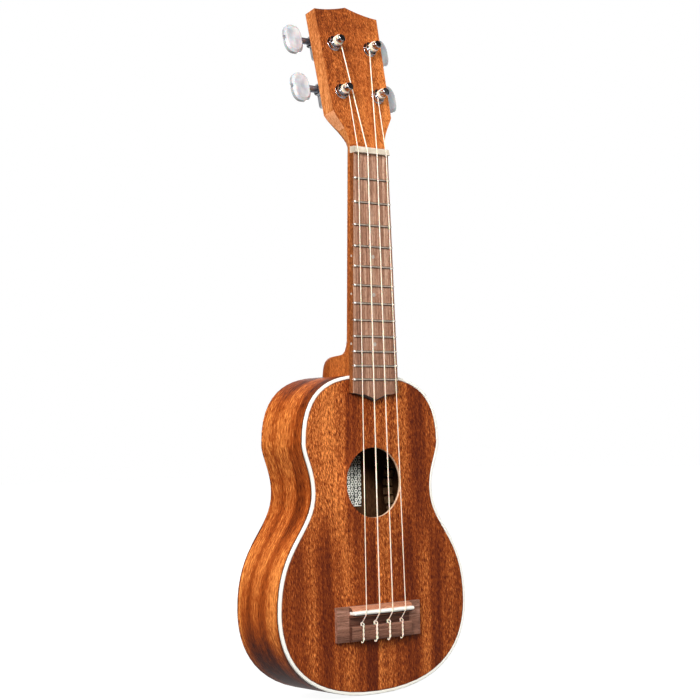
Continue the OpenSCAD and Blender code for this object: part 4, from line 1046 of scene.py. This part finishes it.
def printLabel():
    s = labelSettings
    place = placeOn(imageMiddles["labelPrint"][0], cadNodes["paper_label"])
    labelLow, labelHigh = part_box("paper_label")
    middle = Vector((place.x, labelLow.y - s["inkThick"] / 2, (labelLow.z + labelHigh.z) / 2))
    bpy.ops.object.select_all(action="DESELECT")
    bpy.ops.mesh.primitive_grid_add(x_subdivisions=8, y_subdivisions=24, size=1)
    ink = bpy.context.object
    ink.name = ink.data.name = "labelPrint"
    ink.rotation_euler = (math.radians(90), 0, 0)
    ink.scale = (s["inkWide"], s["inkHigh"], 1)
    ink.location = middle
    settle(ink)
    applyModifier(ink, "SOLIDIFY", thickness=s["inkThick"], offset=0)
    paint(ink, inkFinish)
    bpy.ops.mesh.primitive_torus_add(major_segments=14, minor_segments=6, major_radius=s["curl"],
                                     minor_radius=s["curlThick"])
    curl = bpy.context.object
    curl.rotation_euler = (math.radians(90), 0, 0)
    settle(curl)
    editAll(curl, lambda: bpy.ops.transform.resize(value=(1, s["flatten"], 1), center_override=(0, 0, 0)))
    curls = []
    for column in range(s["columns"]):
        for row in range(s["rows"]):
            copy = curl.copy()
            copy.data = curl.data.copy()
            scene.collection.objects.link(copy)
            across = (column + 0.5) / s["columns"] - 0.5
            along = (row + 0.5 + s["stagger"] * (column % 2) - s["stagger"] / 2) / s["rows"] - 0.5
            size = s["smallest"] + s["grow"] * ((3 * row + 2 * column) % 5) / 4
            shift = Vector((across * s["inkWide"], -s["inkThick"], along * s["inkHigh"]))
            copy.data.transform(Matrix.Translation(middle + shift) @ Matrix.Scale(size, 4))
            curls.append(copy)
    bpy.data.objects.remove(curl)
    border = joined(curls, "labelCurls")
    smoothShade(border, 60)
    paint(border, paperFinish)
    for piece in (ink, border):
        # the same strip along the label's other side
        twin = piece.copy()
        twin.data = piece.data.copy()
        twin.name = twin.data.name = piece.name + "Left"
        twin.data.transform(Matrix.Translation((labelLow.x + labelHigh.x - 2 * middle.x, 0, 0)))
        scene.collection.objects.link(twin)
        for part in (piece, twin):
            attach(part, bodyOfNode["paper_label"])


printLabel()
print("label printed")


def shownVertices(pieceName):
    # the finished vertices of a piece that the camera sees, as pixels; holeRim is part of the soundboard
    holeOnly = pieceName == "holeRim"
    rim = soundHole["radius"] + shownSettings["rimWide"]
    piece = bpy.data.objects["soundboardFace" if holeOnly else pieceName]
    start = camera.matrix_world.translation
    layer = bpy.context.evaluated_depsgraph_get()
    shown = []
    for v in piece.data.vertices:
        if holeOnly and (fromHole(v.co) > rim or v.co.y > shownSettings["rimDeep"]):
            continue
        way = v.co - start
        hit, place = scene.ray_cast(layer, start, way.normalized())[:2]
        if not hit or (place - start).length > way.length - shownSettings["hiddenBy"]:
            shown.append(pixelOf(v.co))
    return shown


def measurePoints():
    for name, ((x, y), pieceName, way) in imageCorners.items():
        shown = shownVertices(pieceName)
    for name, ((x, y), pieceName) in imageMiddles.items():
        shown = shownVertices(pieceName)


measurePoints()

# stage: floor, lamps and the white surround

stageSettings = {
    "floorDrop": 0.0004, "floorSize": 12.0, "floorGlow": 0.95, "floorColour": 0.055, "surround": 0.10,
    "aim": (0, 0.02, -0.2),
    # place, size and power
    "lamps": {
        "keyLamp": ((-1.15, -0.72, 0.45), 0.5, 27),
        "topLamp": ((-0.2, -0.8, 1.0), 0.25, 8),
        "fillLamp": ((-0.7, -1.75, 0.45), 0.5, 12),
        "backLamp": ((1.0, 1.5, -0.2), 0.9, 14),
    },
    "spotPlace": (-0.62, -0.95, 0.0), "spotAim": (0.02, 0.052, -0.264), "spotAngle": 2.1, "spotPower": 42,
    "spotBlend": 0.6, "spotSoft": 0.01,
    # dark flags that only gloss sees: place and size
    "flags": {
        "flagRight": ((1.1, -1.4, -0.55), 1.1), "flagBack": ((-1.1, 1.2, -0.1), 1.5),
        "flagTop": ((0, 0, 1.4), 3.6), "flagLeft": ((-1.8, 0.1, 0.1), 1.6),
        "flagCamera": ((-1.3, -1.55, -0.35), 1.2), "flagFloor": ((-0.35, 0.25, -0.4095), 3.0),
    },
    "matt": 0.9, "flagColour": 0.01,
}


def aimed(place, target, axis):
    return (Vector(target) - Vector(place)).to_track_quat(axis, "Y").to_euler()


def addLamp(name, place, size, power):
    bpy.ops.object.light_add(type="AREA", location=place)
    lamp = bpy.context.object
    lamp.name = name
    lamp.data.size = size
    lamp.data.energy = power
    lamp.rotation_euler = aimed(place, stageSettings["aim"], "-Z")


def addLabelSpot():
    # a narrow light through the sound hole, onto the label
    s = stageSettings
    bpy.ops.object.light_add(type="SPOT", location=s["spotPlace"])
    lamp = bpy.context.object
    lamp.name = "labelSpot"
    lamp.data.energy = s["spotPower"]
    lamp.data.spot_size = math.radians(s["spotAngle"])
    lamp.data.spot_blend = s["spotBlend"]
    lamp.data.shadow_soft_size = s["spotSoft"]
    lamp.rotation_euler = aimed(s["spotPlace"], s["spotAim"], "-Z")


def addFlag(name, place, size):
    bpy.ops.mesh.primitive_plane_add(size=size, location=place)
    flag = bpy.context.object
    flag.name = name
    if place[2] > cadBox[0].z:  # a flag below the object's lowest point stays level
        flag.rotation_euler = aimed(place, stageSettings["aim"], "Z")
    flag.visible_camera = False
    flag.visible_diffuse = False
    flag.visible_shadow = False
    flag.visible_transmission = False
    finish, _, shader = newFinish(name + "Cloth")
    shader.inputs["Base Color"].default_value = (stageSettings["flagColour"],) * 3 + (1,)
    shader.inputs["Roughness"].default_value = stageSettings["matt"]
    paint(flag, finish)


def seenByEye(tree):
    # 1 for what the camera, gloss and glass see, 0 for what lights the object
    seen = addNode(tree, "LightPath")
    straight = calc(tree, "ADD", seen.outputs["Is Camera Ray"], seen.outputs["Is Glossy Ray"])
    return calc(tree, "ADD", straight, seen.outputs["Is Transmission Ray"], clamp=True)


def buildStage():
    s = stageSettings
    bpy.ops.mesh.primitive_plane_add(size=s["floorSize"], location=(0, 0, cadBox[0].z - s["floorDrop"]))
    floor = settle(bpy.context.object)
    floor.name = "floor"
    finish, tree, shader = newFinish("paleFloor")
    shader.inputs["Base Color"].default_value = (s["floorColour"],) * 3 + (1,)
    shader.inputs["Roughness"].default_value = s["matt"]
    glow = addNode(tree, "Emission", {"Strength": calc(tree, "MULTIPLY", seenByEye(tree), s["floorGlow"])})
    both = addNode(tree, "AddShader", {0: shader.outputs[0], 1: glow.outputs[0]})
    tree.links.new(both.outputs[0], tree.nodes["Material Output"].inputs["Surface"])
    paint(floor, finish)
    for name, (place, size, power) in s["lamps"].items():
        addLamp(name, place, size, power)
    addLabelSpot()
    for name, (place, size) in s["flags"].items():
        addFlag(name, place, size)
    world = bpy.data.worlds.new("whiteSurround")
    scene.world = world
    world.use_nodes = True
    tree = world.node_tree
    background = tree.nodes["Background"]
    background.inputs["Color"].default_value = (1, 1, 1, 1)
    strength = calc(tree, "MULTIPLY", seenByEye(tree), 1 - s["surround"])
    strength = calc(tree, "ADD", strength, s["surround"])
    tree.links.new(strength, background.inputs["Strength"])


buildStage()
scene.view_settings.view_transform = "Standard"
print("stage built")
